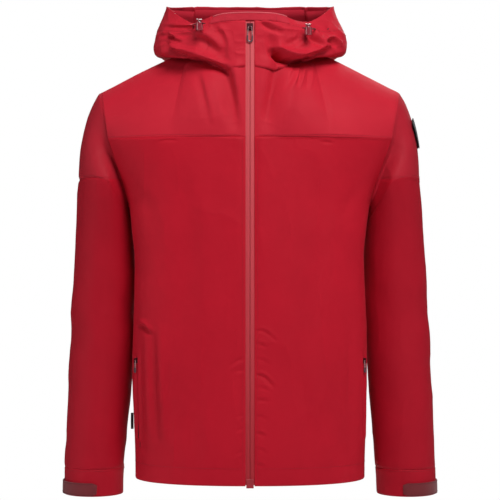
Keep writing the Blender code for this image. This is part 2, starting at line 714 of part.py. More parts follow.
# name, side, angle from the front, foot below the rim, eyelet's place up the hood
LOCKS = (("left", 1.0, 48.0, 0.0304, 0.77), ("right", -1.0, 43.0, 0.0240, 0.83))


def lock_foot(angle, side, drop):
    """Lower centre of a cord lock that stands in front of the hood under its rim."""
    rim, out = hood_point(angle, 1.0), hood_out(angle)
    low, high = rim.z - drop - 0.003, rim.z - drop + LOCK_HEIGHT + 0.003
    nearby = [hood_point(angle + turn, step / 20) for turn in (-5, 0, 5) for step in range(6, 21)]
    beside = [point for point in nearby if low < point.z < high]
    reach = max((point - rim).dot(out) for point in beside)
    foot = rim + out * (reach + LOCK_STAND_OFF)
    return flip(Vector((foot.x, foot.y, rim.z - drop)), side)


def eyelet_ends(angle, up):
    """Points on the cord inside and outside the hood, either side of its eyelet."""
    inside = hood_under(angle + EYELET_TURN + 1.0, up, TUNNEL_DEPTH)
    return inside, hood_under(angle + EYELET_TURN - 1.0, up, -TUNNEL_DEPTH)


def cut_eyelet(hood_side, side):
    for name, lock_side, angle, _drop, up in LOCKS:
        if lock_side == side:
            inside, outside = (flip(point, side) for point in eyelet_ends(angle, up))
            rod = rod_mesh("eyelet", EYELET_RADIUS, inside, outside)
            boolean(hood_side, add_cutter("hood_eyelet_" + name, rod), "DIFFERENCE")


def build_hood_cords():
    for name, side, angle, drop, up in LOCKS:
        foot = lock_foot(angle, side, drop)
        ahead, behind = hood_point(angle + 4, 1.0), hood_point(angle - 4, 1.0)
        tangent = flip(Vector((ahead.x - behind.x, ahead.y - behind.y, 0.0)), side).normalized()
        build_cord_lock(name, foot, tangent)
        through_hole = foot + Vector((0, 0, LOCK_HOLE_Z))
        inside, outside = (flip(point, side) for point in eyelet_ends(angle, up))
        start, end = angle + EYELET_TURN + 5.0, 86.0
        rising = [hood_under(spread(start, end, step / 3), spread(up, 0.90, step / 3), TUNNEL_DEPTH)
                  for step in range(4)]
        round_back = [hood_under(place, 0.90, TUNNEL_DEPTH) for place in (92, 98, 107, 116, 126, 134)]
        route = [through_hole + tangent * (reach * 0.001) for reach in (-12, -9, -6, -3, 0, 3, 6, 9)]
        route += [outside, inside] + [flip(point, side) for point in rising + round_back]
        add_tube("hood_drawcord_" + name, resample(route, 60), CORD_RADIUS, "cord")


HEM_START = 0.17            # angle, in radians, at which the hem's facing starts beside the zip


def inset_body(angle, z, depth, back=False):
    """A point under the body surface, straight in from it."""
    step = 0.01
    point = body_point(angle, z, back)
    along = body_point(min(angle + step, math.pi / 2), z, back) - body_point(angle - step, z, back)
    out = Vector((along.y, -along.x, 0.0)).normalized()
    if out.dot(Vector((point.x, point.y - through(BODY_MIDDLE_Y, z), 0.0))) < 0:
        out = -out
    return point - out * depth


def hem_ring(share, z, depth):
    """Round the hem inside the body, from one side of the zip to the other; share 0 to 1."""
    if share > 0.5:
        return flip(hem_ring(1 - share, z, depth), -1.0)
    if share < 0.25:
        return inset_body(spread(HEM_START, math.pi / 2, share * 4), z, depth)
    return inset_body(spread(math.pi / 2, 0.0, share * 4 - 1), z, depth, back=True)


def build_hem():
    def facing(row, column):
        return hem_ring(column, spread(0.034, 0.056, row), 0.0052)
    add_sheet("hem_facing", facing, 1, 48, "lining", (0, 0, 0.045), 0.0008)
    cord = [hem_ring(0.012 + 0.976 * step / 63, 0.041, 0.0032) for step in range(64)]
    add_tube("hem_drawcord", cord, CORD_RADIUS, "cord")


# ---------------------------------------------------------------- cuffs
TAB_LOW_Z, TAB_HIGH_Z = 0.0015, 0.0235
TAB_HINGE = -38.0           # turn at the stitched end, behind the outer side
TAB_TIP = 100.0


def build_cuff_tab(name, side):
    def tab(row, column):
        turn = spread(TAB_HINGE, TAB_TIP, row)
        middle, half = (TAB_LOW_Z + TAB_HIGH_Z) / 2, (TAB_HIGH_Z - TAB_LOW_Z) / 2
        nearness = max(0.0, (row - 0.92) / 0.08)
        half *= 1.0 - 0.35 * nearness
        return flip(sleeve_point(turn, middle + half * (2 * column - 1), 0.0026), side)

    def base(row, column):
        turn = spread(TAB_HINGE - 20.0, TAB_HINGE - 1.5, row)
        return flip(sleeve_point(turn, spread(TAB_LOW_Z, TAB_HIGH_Z, column), 0.0019), side)
    start = sleeve_point(TAB_HINGE, (TAB_LOW_Z + TAB_HIGH_Z) / 2, 0.0020)
    axis = add_empty("cuff_tab_axis_" + name, flip(start, side), ROOT)
    cuff_middle = (side * 0.273, 0.0, 0.012)
    add_sheet("cuff_tab_" + name, tab, 18, 2, "tab", cuff_middle, 0.0014, pivot=axis)
    add_sheet("cuff_tab_base_" + name, base, 4, 2, "tab", cuff_middle, 0.0012)


# ---------------------------------------------------------------- small pieces
def build_small_pieces():
    half = [(0.0, 0.0660, 0.8035), (0.008, 0.0662, 0.8030), (0.016, 0.0675, 0.7985),
            (0.022, 0.0715, 0.7890), (0.024, 0.0748, 0.7800)]
    loop = [(-x, y, z) for x, y, z in reversed(half[1:])] + half
    add_tube("hang_loop", resample(loop, 28), 0.0010, "tab")
    up = (yoke_point(0.0, 0.84, back=True) - yoke_point(0.0, 0.66, back=True)).normalized()
    out = Vector((0.0, up.z, -up.y))
    middle = yoke_point(0.0, 0.75, back=True) - out * 0.0048
    frame = Matrix.Translation(middle) @ Matrix((Vector((1, 0, 0)), out, up)).transposed().to_4x4()
    label = box_mesh("neck_label", (-0.020, -0.0005, -0.0135), (0.020, 0.0005, 0.0135), frame)
    add_mesh("neck_label", label, "label")
    add_mesh("side_label", box_mesh("side_label", (-0.2065, -0.0300, 0.115),
                                    (-0.2018, -0.0288, 0.143)), "label")

    def patch(row, column):
        return cap_point(spread(-16.0, 16.0, column), spread(0.36, 0.68, row), 0.0022)
    add_sheet("arm_patch", patch, 3, 4, "label", (0.25, 0.01, 0.6), 0.0008)


# ---------------------------------------------------------------- build
def main():
    for name, side in SIDES:
        build_front_panel(name, side)
        build_front_yoke(name, side)
        build_sleeve(name, side)
        build_pocket(name, side)
        build_cuff_tab(name, side)
    build_back_panel()
    build_back_yoke()
    build_hood()
    build_main_zip()
    build_hood_cords()
    build_hem()
    build_small_pieces()


main()
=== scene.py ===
"""Looks for the hardshell jacket: sewn fabric panels, zips, cords, labels, light and camera.

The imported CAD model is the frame. Every sewn panel is rebuilt here as dense fabric with turned-in
seams, folds and stitches on the same surfaces as the CAD. The shapes are described in a garment
frame whose z is the height above the cuffs' lower edge; HANG_POINT moves it to the frame's origin.
"""
import math

import bmesh
import bpy
import numpy as np
from mathutils import Matrix, Vector


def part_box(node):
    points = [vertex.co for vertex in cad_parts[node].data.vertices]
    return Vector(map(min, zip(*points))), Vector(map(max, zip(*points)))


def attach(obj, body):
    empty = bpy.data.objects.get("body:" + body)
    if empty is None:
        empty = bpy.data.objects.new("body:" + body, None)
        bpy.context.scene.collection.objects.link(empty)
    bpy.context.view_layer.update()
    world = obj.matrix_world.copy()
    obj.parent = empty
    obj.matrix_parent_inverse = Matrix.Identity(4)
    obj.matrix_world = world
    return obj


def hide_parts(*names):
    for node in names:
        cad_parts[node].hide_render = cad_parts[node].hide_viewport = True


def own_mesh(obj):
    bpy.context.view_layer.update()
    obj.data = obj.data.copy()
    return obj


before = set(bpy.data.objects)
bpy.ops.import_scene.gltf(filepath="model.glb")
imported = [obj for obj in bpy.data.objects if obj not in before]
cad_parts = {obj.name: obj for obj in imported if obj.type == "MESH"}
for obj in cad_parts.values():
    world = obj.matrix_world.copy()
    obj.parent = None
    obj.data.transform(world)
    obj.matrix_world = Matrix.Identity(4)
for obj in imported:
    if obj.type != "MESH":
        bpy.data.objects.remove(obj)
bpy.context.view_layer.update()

# ---------------------------------------------------------------- dimensions shared with the CAD
HEM_Z = 0.032
YOKE_Z = 0.616
ARMPIT_Z = 0.505
ROUND = 0.85
ARMHOLE_OPEN = 26.0
SHOULDER_TIP = np.array([0.262, 0.005, 0.700])
HANG_POINT = np.array([0.0, 0.066, 0.8025])
ZIP_FOOT_Y = -0.150
ZIP_FOOT_Z = 0.030
ZIP_LEAN = 0.057
ZIP_EDGE_X = 0.0075
CUFF_TOP_Z = 0.046
POCKET_ANGLE = 74.0
POCKET_LOW_Z = 0.095
POCKET_HIGH_Z = 0.250
COLLAR_END = 38.0
CENTRE_SEAM = 140.0
BAND_LOW = 0.80
HEM_DEPTH = 0.0082
HEM_START = 0.17            # angle, in radians, at which the hem's facing starts beside the zip
ZIP_TOP_Z = 0.811
ZIP_TAPE_FOOT = 0.034
TAPE_EDGE = 0.00025         # each tape starts this far from the centre line
# painted light: the zip tape's colour grows lighter towards the top over this length
TAPE_LIGHT_GRADIENT_LENGTH = 0.76          # over which the tape's colour grows lighter
COIL_PITCH = 0.00125
TAB_LOW_Z, TAB_HIGH_Z = 0.0015, 0.0235
TAB_HINGE, TAB_TIP = -38.0, 100.0
ARMHOLE_GAP = 0.0004

BODY_EDGE_X = [(0.032, 0.199), (0.10, 0.2005), (0.24, 0.201), (0.41, 0.197),
               (0.46, 0.202), (0.505, 0.209), (0.55, 0.222), (0.616, 0.245)]
BODY_MIDDLE_Y = [(0.032, -0.020), (0.25, -0.030), (0.45, -0.030), (0.505, -0.018), (0.616, 0.004)]
BODY_BACK_Y = [(0.032, 0.135), (0.25, 0.122), (0.45, 0.128), (0.616, 0.130)]
SLEEVE_OUTER_X = [(0.0, 0.3255), (0.105, 0.324), (0.189, 0.3206), (0.273, 0.317), (0.34, 0.314),
                  (0.404, 0.310), (0.462, 0.306), (0.5075, 0.303), (0.547, 0.2985)]
SLEEVE_MIDDLE_X = [(0.0, 0.2735), (0.10, 0.268), (0.30, 0.258), (0.45, 0.250), (0.547, 0.243)]
SLEEVE_INNER_X = [(0.0, 0.222), (0.035, 0.221), (0.24, 0.2035), (0.32, 0.1990), (0.40, 0.1995),
                  (0.47, 0.2040), (0.515, 0.208), (0.547, 0.209)]
SLEEVE_MIDDLE_Y = [(0.0, 0.005), (0.10, 0.015), (0.30, 0.030), (0.45, 0.026), (0.547, 0.012)]
SLEEVE_HALF_DEPTH = [(0.0, 0.055), (0.10, 0.058), (0.30, 0.065), (0.45, 0.070), (0.547, 0.078)]
SLEEVE_SEAM = 0.547
SLEEVE_SEAM_Z = [(0.0, 0.547), (80.0, 0.547), (120.0, 0.513), (150.0, 0.484), (180.0, 0.470)]
NECK_GUIDE = [(0, 0.0, -0.1096, 0.738), (25, 0.044, -0.1045, 0.733), (45, 0.076, -0.086, 0.740),
              (65, 0.096, -0.055, 0.757), (90, 0.104, -0.010, 0.7775), (115, 0.094, 0.034, 0.786),
              (145, 0.055, 0.069, 0.791), (180, 0.0, 0.080, 0.793)]
LOW_GUIDE = [(0, 0.0, -0.1077, 0.772), (25, 0.047, -0.1045, 0.766), (45, 0.088, -0.092, 0.757),
             (65, 0.128, -0.062, 0.757), (90, 0.153, -0.010, 0.7630), (115, 0.142, 0.058, 0.760),
             (145, 0.085, 0.122, 0.724), (180, 0.0, 0.144, 0.703)]
HIGH_GUIDE = [(0, 0.0, -0.1060, 0.803), (25, 0.047, -0.103, 0.801), (45, 0.086, -0.0935, 0.795),
              (65, 0.128, -0.067, 0.788), (90, 0.1665, -0.010, 0.786), (115, 0.160, 0.070, 0.783),
              (145, 0.105, 0.145, 0.760), (180, 0.0, 0.174, 0.748)]
RIM_GUIDE = [(0, 0.0, -0.1045, 0.8265), (25, 0.045, -0.099, 0.825), (45, 0.072, -0.0865, 0.819),
             (65, 0.103, -0.060, 0.817), (90, 0.143, -0.010, 0.848), (115, 0.140, 0.050, 0.857),
             (145, 0.090, 0.086, 0.862), (180, 0.0, 0.098, 0.864)]

# ---------------------------------------------------------------- sewing
CLOTH = 0.0008              # thickness of the fabric
SEAM_ROUND = 0.0030         # width over which a panel bends into its seam
SEAM_DIP = 0.0007           # depth of the valley at a seam
ALLOWANCE = 0.0045          # seam allowance turned inside
ZIP_TURN = 0.0014           # the fronts' turned edge beside the zip tape
ARMHOLE_TURN = 0.0120       # the body's turned edge over the sunken sleeve cap
ZIP_EASE = 0.0010           # how far the fronts sink towards the tape
ZIP_EASE_WIDTH = 0.0085
STITCH_LENGTH = 0.0027
STITCH_GAP = 0.0009
STITCH_LIFT = 0.0001
THREAD = 0.00024
# the share along a stitch, its height in threads and its radius in threads, ring by ring
STITCH_RINGS = ((0.0, -0.9, 0.45), (0.14, 0.25, 0.9), (0.5, 0.7, 1.0), (0.86, 0.25, 0.9), (1.0, -0.9, 0.45))
SPRING_WIRE, SPRING_TURNS, SPRING_STEPS = 0.0003, 4, 96
PIPING = 0.0009             # radius of the rounded edge on the chin band
CAP_HOLLOW = 0.0160         # depth of the sleeve cap's hollow beside the armhole
CAP_HOLLOW_TURN = 84.0
SIDES = (("left", 1.0), ("right", -1.0))


# ---------------------------------------------------------------- curves through stations
def hermite(start, end, start_slope, end_slope, share):
    square, cube = share * share, share ** 3
    return (start * (2 * cube - 3 * square + 1) + end * (3 * square - 2 * cube)
            + start_slope * (cube - 2 * square + share) + end_slope * (cube - square))


def through(stations, place):
    """Smooth values at an array of places; stations are (place, value, ...)."""
    table = np.array(stations, dtype=float)
    places, values = table[:, 0], table[:, 1:]
    place = np.clip(np.asarray(place, dtype=float), places[0], places[-1])
    here = np.clip(np.searchsorted(places, place, side="right") - 1, 0, len(places) - 2)
    before, after = np.maximum(here - 1, 0), np.minimum(here + 2, len(places) - 1)
    span = (places[here + 1] - places[here])[..., None]
    share = (place - places[here])[..., None] / span
    slope_here = (values[here + 1] - values[before]) / (places[here + 1] - places[before])[..., None]
    slope_there = (values[after] - values[here]) / (places[after] - places[here])[..., None]
    result = hermite(values[here], values[here + 1], slope_here * span, slope_there * span, share)
    return result[..., 0] if result.shape[-1] == 1 else result


def smooth_step(share):
    share = np.clip(share, 0.0, 1.0)
    return share * share * (3 - 2 * share)


def spread(low, high, share):
    return low + (high - low) * share


def stack(x, y, z):
    return np.stack(np.broadcast_arrays(x, y, z), axis=-1).astype(float)


def unit(vectors):
    length = np.linalg.norm(vectors, axis=-1, keepdims=True)
    return vectors / np.maximum(length, 1e-12)


# ---------------------------------------------------------------- the CAD's surfaces
def zip_y(z):
    return ZIP_FOOT_Y + ZIP_LEAN * (z - ZIP_FOOT_Z)


def body_limit(z):
    """Angle, from the front or the back, at which a body quarter ends at height z."""
    rise = np.maximum(0.0, (z - ARMPIT_Z) / (YOKE_Z - ARMPIT_Z))
    return np.radians(90.0 - ARMHOLE_OPEN * rise ** 0.6)


def body_point(angle, z, back=False):
    """Outer surface of the body; angle runs from the centre line to the side."""
    reach = through(BODY_EDGE_X, z) / np.sin(body_limit(z)) ** ROUND
    middle = through(BODY_MIDDLE_Y, z)
    depth = through(BODY_BACK_Y, z) - middle if back else zip_y(z) - middle
    across = reach * np.maximum(np.sin(angle), 0.0) ** ROUND
    return stack(across, middle + depth * np.maximum(np.cos(angle), 0.0) ** ROUND, z)


def mirrored(guide):
    lead = [(-guide[1][0], -guide[1][1], guide[1][2], guide[1][3])]
    tail = [(360 - guide[-2][0], -guide[-2][1], guide[-2][2], guide[-2][3])]
    return lead + guide + tail


def neck_point(angle):
    return through(mirrored(NECK_GUIDE), angle)


def yoke_point(across, up, back=False):
    """Yoke surface: across runs from the centre line to the armhole, up from seam to shoulder."""
    neck_share = 0.42
    across, up = np.broadcast_arrays(across, up)
    low = body_point(across * body_limit(YOKE_Z), np.full(across.shape, YOKE_Z), back)
    turn = np.minimum(90.0 * across / neck_share, 90.0)
    at_neck = neck_point(180.0 - turn if back else turn)
    along = np.clip((across - neck_share) / (1 - neck_share), 0.0, 1.0)[..., None]
    side_neck = neck_point(np.array(90.0))
    shoulder = side_neck + (SHOULDER_TIP - side_neck) * along
    high = np.where((across < neck_share)[..., None], at_neck, shoulder)
    bulge = 4 * up * (1 - up) * smooth_step(across / 0.4)
    if back:
        bulge = 4 * up * (1 - up) * (0.5 + 0.5 * smooth_step(across / 0.4))
    out = np.array([0.0, 0.018 if back else -0.018, 0.008])
    return low + (high - low) * up[..., None] + out * bulge[..., None]


def armhole_point(turn):
    """Armhole edge; turn is 0 at the shoulder, 90 at the front and 180 at the armpit."""
    turn = np.asarray(turn, dtype=float) % 360.0
    back = turn > 180.0
    turn = np.where(back, 360.0 - turn, turn)
    up = np.clip(1.0 - turn / 60.0, 0.0, 1.0)
    rest = np.clip(1.0 - (turn - 60.0) / 120.0, 0.0, 1.0)
    height = ARMPIT_Z + (YOKE_Z - ARMPIT_Z) * rest ** 1.6
    limit = body_limit(height)
    one = np.ones_like(up)
    high = np.where(back[..., None], yoke_point(one, up, True), yoke_point(one, up, False))
    low = np.where(back[..., None], body_point(limit, height, True), body_point(limit, height, False))
    return np.where((turn < 60.0)[..., None], high, low)


def sleeve_point(turn, z, grow=0.0):
    """Sleeve section at a height; turn 0 faces outward, 90 forward; grow moves it outward."""
    turn, z = np.broadcast_arrays(np.asarray(turn, dtype=float), z)
    cosine, sine = np.cos(np.radians(turn)), np.sin(np.radians(turn))
    middle = through(SLEEVE_MIDDLE_X, z)
    outer, inner = through(SLEEVE_OUTER_X, z) - middle, middle - through(SLEEVE_INNER_X, z)
    half_width = np.where(cosine > 0, outer, inner) + grow
    half_depth = through(SLEEVE_HALF_DEPTH, z) + grow
    return stack(middle + half_width * cosine, through(SLEEVE_MIDDLE_Y, z) - half_depth * sine, z)


def seam_height(turn):
    turn = np.asarray(turn, dtype=float) % 360.0
    return through(SLEEVE_SEAM_Z, np.where(turn > 180.0, 360.0 - turn, turn))


def cap_point(turn, down, grow=0.0):
    """Sleeve cap from the armhole (down 0) to the sleeve seam (down 1)."""
    turn, down = np.broadcast_arrays(np.asarray(turn, dtype=float), down)
    armpit_share = (1 - np.cos(np.radians(turn))) / 2
    start = armhole_point(turn) + stack(ARMHOLE_GAP * (1 + armpit_share), 0.0, 0.0)
    end = sleeve_point(turn, seam_height(turn), grow)
    bend = end + stack(0.0, 0.0, (start[..., 2] - end[..., 2]) * 0.67)
    down = down[..., None]
    lift = np.array([grow, 0.0, grow * 0.3])
    return start * (1 - down) ** 2 + bend * 2 * down * (1 - down) + end * down ** 2 + lift * (1 - down)


def hood_point(angle, up):
    """Hood and collar: angle from the front in degrees, up from the neck seam to the rim."""
    angle, up = np.broadcast_arrays(np.asarray(angle, dtype=float), up)
    guides = [neck_point(angle) + np.array([0.0, 0.0, 0.0006])]
    guides += [through(mirrored(guide), angle) for guide in (LOW_GUIDE, HIGH_GUIDE, RIM_GUIDE)]
    result = np.zeros(angle.shape + (3,))
    third = np.clip((up * 3).astype(int), 0, 2)
    for index in range(3):
        start, end = guides[index], guides[index + 1]
        start_slope = (end - guides[index - 1]) / 2 if index else end - start
        end_slope = (guides[index + 2] - start) / 2 if index < 2 else end - start
        part = hermite(start, end, start_slope, end_slope, (up * 3 - index)[..., None])
        result = np.where((third == index)[..., None], part, result)
    return result


def hood_ring(angle, up):
    """The hood all the way round; angles over 180 are the mirror image."""
    angle = np.asarray(angle, dtype=float) % 360.0
    return flip_by(hood_point(np.where(angle > 180.0, 360.0 - angle, angle), up), 180.0 - angle)


def flip(points, side):
    return points * np.array([side, 1.0, 1.0])


def flip_by(points, sign_source):
    """Mirror the points whose sign source is below zero."""
    points[..., 0] = np.where(sign_source < 0, -points[..., 0], points[..., 0])
    return points


# ---------------------------------------------------------------- noise and folds
LATTICE_SIZE = 24
LATTICE = np.random.default_rng(41).random((LATTICE_SIZE,) * 3) * 2 - 1


def noise(points, scale, shift=0.0):
    """Smooth noise from -1 to 1; scale is the size of its lumps in x, y and z."""
    place = points / np.array(scale) + 100.0 + shift
    corner = np.floor(place).astype(int)
    part = place - corner
    part = part ** 3 * (part * (part * 6 - 15) + 10)
    total = np.zeros(points.shape[:-1])
    for step in range(8):
        offset = np.array([step & 1, (step >> 1) & 1, (step >> 2) & 1])
        index = (corner + offset) % LATTICE_SIZE
        weight = np.prod(np.where(offset == 1, part, 1 - part), axis=-1)
        total += weight * LATTICE[index[..., 0], index[..., 1], index[..., 2]]
    return total


def ridged(points, scale, shift):
    """Noise with narrow crests, as creases in crisp fabric have; about -0.5 to 0.5."""
    return 0.5 - np.sqrt(np.abs(noise(points, scale, shift)) + 0.0025)


def crease(points, route, depth, width, ridge=0.6):
    """A fold seen from the front along (x, z) points: a valley with a raised lip on its left."""
    steps = 90
    route = np.array(route, dtype=float)
    curve = through([(index, *knot) for index, knot in enumerate(route)],
                    np.linspace(0, len(route) - 1, steps))
    flat = points[..., [0, 2]].reshape(-1, 2)
    reach = 4.5 * width
    near = np.all((flat > curve.min(axis=0) - reach) & (flat < curve.max(axis=0) + reach), axis=1)
    offset = np.zeros(len(flat))
    gaps = flat[near][:, None, :] - curve[None, :, :]
    nearest = np.linalg.norm(gaps, axis=-1).argmin(axis=1)
    gap = gaps[np.arange(len(nearest)), nearest]
    heading = unit(np.gradient(curve, axis=0))[nearest]
    signed = heading[:, 0] * gap[:, 1] - heading[:, 1] * gap[:, 0]
    beyond = heading[:, 0] * gap[:, 0] + heading[:, 1] * gap[:, 1]
    taper = np.sin(np.pi * spread(0.04, 0.96, nearest / (steps - 1))) ** 0.6
    taper *= np.exp(-(beyond / width) ** 2)
    shape = -np.exp(-(signed / width) ** 2) + ridge * np.exp(-((signed - 1.7 * width) / width) ** 2)
    offset[near] = depth * taper * shape
    return offset.reshape(points.shape[:-1])


def body_drape(points):
    """Soft folds of the body, the same on both sides of every seam."""
    z = points[..., 2]
    low = smooth_step((0.52 - z) / 0.30)
    offset = 0.0034 * noise(points, (0.085, 0.11, 0.26))
    offset += 0.0018 * low * noise(points, (0.034, 0.05, 0.21), 7.3)
    offset += 0.0012 * ridged(points, (0.050, 0.07, 0.11), 3.1)
    offset *= spread(0.25, 1.0, smooth_step((z - HEM_Z) / 0.06))
    offset += 0.00022 * noise(points, (0.012, 0.02, 0.017), 11.7)
    offset += 0.00012 * noise(points, (0.006, 0.008, 0.009), 5.9)
    return offset


def sleeve_drape(points):
    z = points[..., 2]
    elbow = np.exp(-((z - 0.31) / 0.10) ** 2)
    wrist = smooth_step((0.15 - z) / 0.12)
    offset = 0.0026 * noise(points, (0.06, 0.07, 0.20), 2.2)
    offset += 0.0024 * (0.35 + elbow) * noise(points, (0.05, 0.06, 0.055), 9.1)
    offset += 0.0018 * wrist * noise(points, (0.030, 0.035, 0.040), 4.4)
    offset += 0.0010 * ridged(points, (0.04, 0.05, 0.07), 6.0)
    offset += 0.00020 * noise(points, (0.012, 0.015, 0.016), 1.3)
    return offset


def yoke_drape(points):
    offset = 0.0012 * noise(points, (0.07, 0.09, 0.12), 8.8)
    offset += 0.0007 * ridged(points, (0.05, 0.08, 0.06), 2.7)
    offset += 0.00020 * noise(points, (0.012, 0.016, 0.014), 6.6)
    return offset


def hood_drape(points):
    offset = 0.0030 * noise(points, (0.045, 0.05, 0.035), 12.1)
    offset += 0.0022 * ridged(points, (0.040, 0.06, 0.022), 5.2)
    offset += 0.0009 * ridged(points, (0.017, 0.022, 0.011), 9.9)
    offset += 0.00030 * noise(points, (0.010, 0.012, 0.009), 3.9)
    return offset


# side of the zip, height, length, how far the fold drops along its length, depth
PUCKERS = [
    (1.0, 0.291, 0.034, 0.50, 0.0016), (1.0, 0.268, 0.017, 0.25, 0.0015),
    (1.0, 0.243, 0.022, 0.35, 0.0009), (1.0, 0.216, 0.030, 0.62, 0.0024),
    (1.0, 0.196, 0.024, 0.30, 0.0009), (1.0, 0.175, 0.022, 0.12, 0.0012),
    (1.0, 0.148, 0.020, 0.30, 0.0009), (1.0, 0.119, 0.016, 0.30, 0.0019),
    (1.0, 0.094, 0.018, 0.40, 0.0011), (1.0, 0.068, 0.014, 0.30, 0.0013),
    (-1.0, 0.242, 0.024, 0.50, 0.0017), (-1.0, 0.224, 0.015, 0.15, 0.0012),
    (-1.0, 0.150, 0.016, 0.40, 0.0008), (-1.0, 0.127, 0.014, 0.30, 0.0008),
    (-1.0, 0.088, 0.018, 0.35, 0.0008),
]


def zip_puckers(points):
    """Short arcs beside the zip, where the fronts are eased onto its tape."""
    start, width = 0.0092, 0.0028
    offset = np.zeros(points.shape[:-1])
    for side, height, length, drop, depth in PUCKERS:
        bend = (side * (start + length * 0.45), height - length * drop * 0.15)
        end = (side * (start + length), height - length * drop)
        offset += crease(points, [(side * start, height), bend, end], depth, width)
    return offset


def on_front(points):
    """1 on the front of the jacket, 0 on its back."""
    return smooth_step((0.02 - points[..., 1]) / 0.04)


def add_folds(points, folds):
    """Sum of creases; each is a route of (x, z), a depth, a width and a lip."""
    offset = np.zeros(points.shape[:-1])
    for route, depth, width, lip in folds:
        offset += crease(points, route, depth, width, lip)
    beside_zip_share = smooth_step((np.abs(points[..., 0]) - ZIP_EDGE_X) / 0.016)
    return offset * on_front(points) * beside_zip_share


FRONT_FOLDS = [
    ([(-0.190, 0.298), (-0.180, 0.293), (-0.170, 0.283)], 0.0055, 0.0042, 0.7),
    ([(-0.166, 0.290), (-0.163, 0.20), (-0.160, 0.110)], 0.0048, 0.0085, 0.8),
    ([(-0.186, 0.280), (-0.186, 0.18), (-0.185, 0.090)], 0.0030, 0.0070, 0.5),
    ([(0.172, 0.300), (0.170, 0.20), (0.172, 0.080)], 0.0026, 0.0110, 0.5),
    ([(-0.152, 0.609), (-0.138, 0.611), (-0.124, 0.610)], 0.0014, 0.0026, 0.6),
    ([(0.120, 0.608), (0.140, 0.606)], 0.0012, 0.0028, 0.6),
    ([(0.205, 0.545), (0.165, 0.50), (0.150, 0.43)], 0.0012, 0.0110, 0.5),
    ([(-0.205, 0.545), (-0.170, 0.49), (-0.158, 0.42)], 0.0010, 0.0110, 0.5),
    ([(-0.120, 0.56), (-0.100, 0.44), (-0.112, 0.30)], 0.0022, 0.0180, 0.6),
    ([(0.105, 0.57), (0.120, 0.45), (0.108, 0.30)], 0.0022, 0.0180, 0.6),
    ([(-0.070, 0.25), (-0.095, 0.14), (-0.090, 0.05)], 0.0020, 0.0140, 0.6),
    ([(0.075, 0.24), (0.095, 0.15), (0.085, 0.05)], 0.0020, 0.0140, 0.6),
]
NECK_FOLDS = [
    ([(-0.050, 0.738), (-0.040, 0.706), (-0.026, 0.640)], 0.0140, 0.0120, 0.40),
    ([(0.052, 0.748), (0.044, 0.700), (0.030, 0.640)], 0.0140, 0.0140, 0.35),
    ([(-0.090, 0.722), (-0.082, 0.690), (-0.070, 0.640)], 0.0030, 0.0065, 0.6),
    ([(-0.060, 0.726), (-0.050, 0.688), (-0.036, 0.640)], 0.0026, 0.0065, 0.6),
    ([(0.078, 0.740), (0.072, 0.722), (0.062, 0.700)], 0.0034, 0.0034, 0.8),
    ([(0.088, 0.738), (0.085, 0.722), (0.080, 0.704)], 0.0030, 0.0030, 0.8),
    ([(0.100, 0.740), (0.100, 0.722), (0.096, 0.700)], 0.0022, 0.0034, 0.8),
    ([(-0.146, 0.810), (-0.120, 0.806), (-0.082, 0.801)], 0.0050, 0.0042, 0.8),
    ([(-0.152, 0.795), (-0.128, 0.790), (-0.104, 0.792)], 0.0042, 0.0040, 0.9),
    ([(-0.140, 0.797), (-0.134, 0.786), (-0.118, 0.776)], 0.0095, 0.0048, 0.6),
    ([(-0.146, 0.782), (-0.134, 0.766), (-0.118, 0.757)], 0.0150, 0.0070, 0.7),
    ([(-0.130, 0.760), (-0.096, 0.750), (-0.066, 0.738), (-0.044, 0.726)], 0.0150, 0.0062, 0.9),
    ([(-0.100, 0.790), (-0.076, 0.776), (-0.052, 0.756)], 0.0070, 0.0080, 0.7),
    ([(-0.062, 0.802), (-0.048, 0.782), (-0.044, 0.752)], 0.0036, 0.0060, 0.7),
    ([(0.040, 0.758), (0.056, 0.748), (0.076, 0.744), (0.104, 0.752), (0.140, 0.769)],
     0.0190, 0.0066, 1.0),
    ([(0.046, 0.757), (0.058, 0.749), (0.072, 0.746)], 0.0130, 0.0085, 0.3),
    ([(0.126, 0.775), (0.140, 0.784), (0.152, 0.774)], 0.0095, 0.0052, 0.8),
    ([(0.100, 0.801), (0.107, 0.786), (0.120, 0.770)], 0.0080, 0.0048, 0.9),
    ([(0.090, 0.792), (0.080, 0.780), (0.062, 0.772)], 0.0040, 0.0052, 0.7),
    ([(0.134, 0.812), (0.146, 0.800), (0.156, 0.790)], 0.0042, 0.0046, 0.8),
    ([(0.012, 0.814), (0.030, 0.802), (0.052, 0.793)], 0.0052, 0.0046, 0.7),
    ([(0.034, 0.788), (0.038, 0.772), (0.040, 0.756)], 0.0040, 0.0070, 0.6),
]


def front_folds(points):
    offset = body_drape(points) + zip_puckers(points) + add_folds(points, FRONT_FOLDS)
    return offset + ease_to_zip(points)


def neck_push(points):
    """Deep folds round the neck, pushed towards its axis, alike on the yokes and the hood."""
    outward = unit(stack(points[..., 0], points[..., 1] + 0.02, 0.0))
    return outward * add_folds(points, NECK_FOLDS)[..., None]


def yoke_folds(points):
    return yoke_drape(points) + ease_to_zip(points)


def hood_folds(points):
    return hood_drape(points) + ease_to_zip(points)


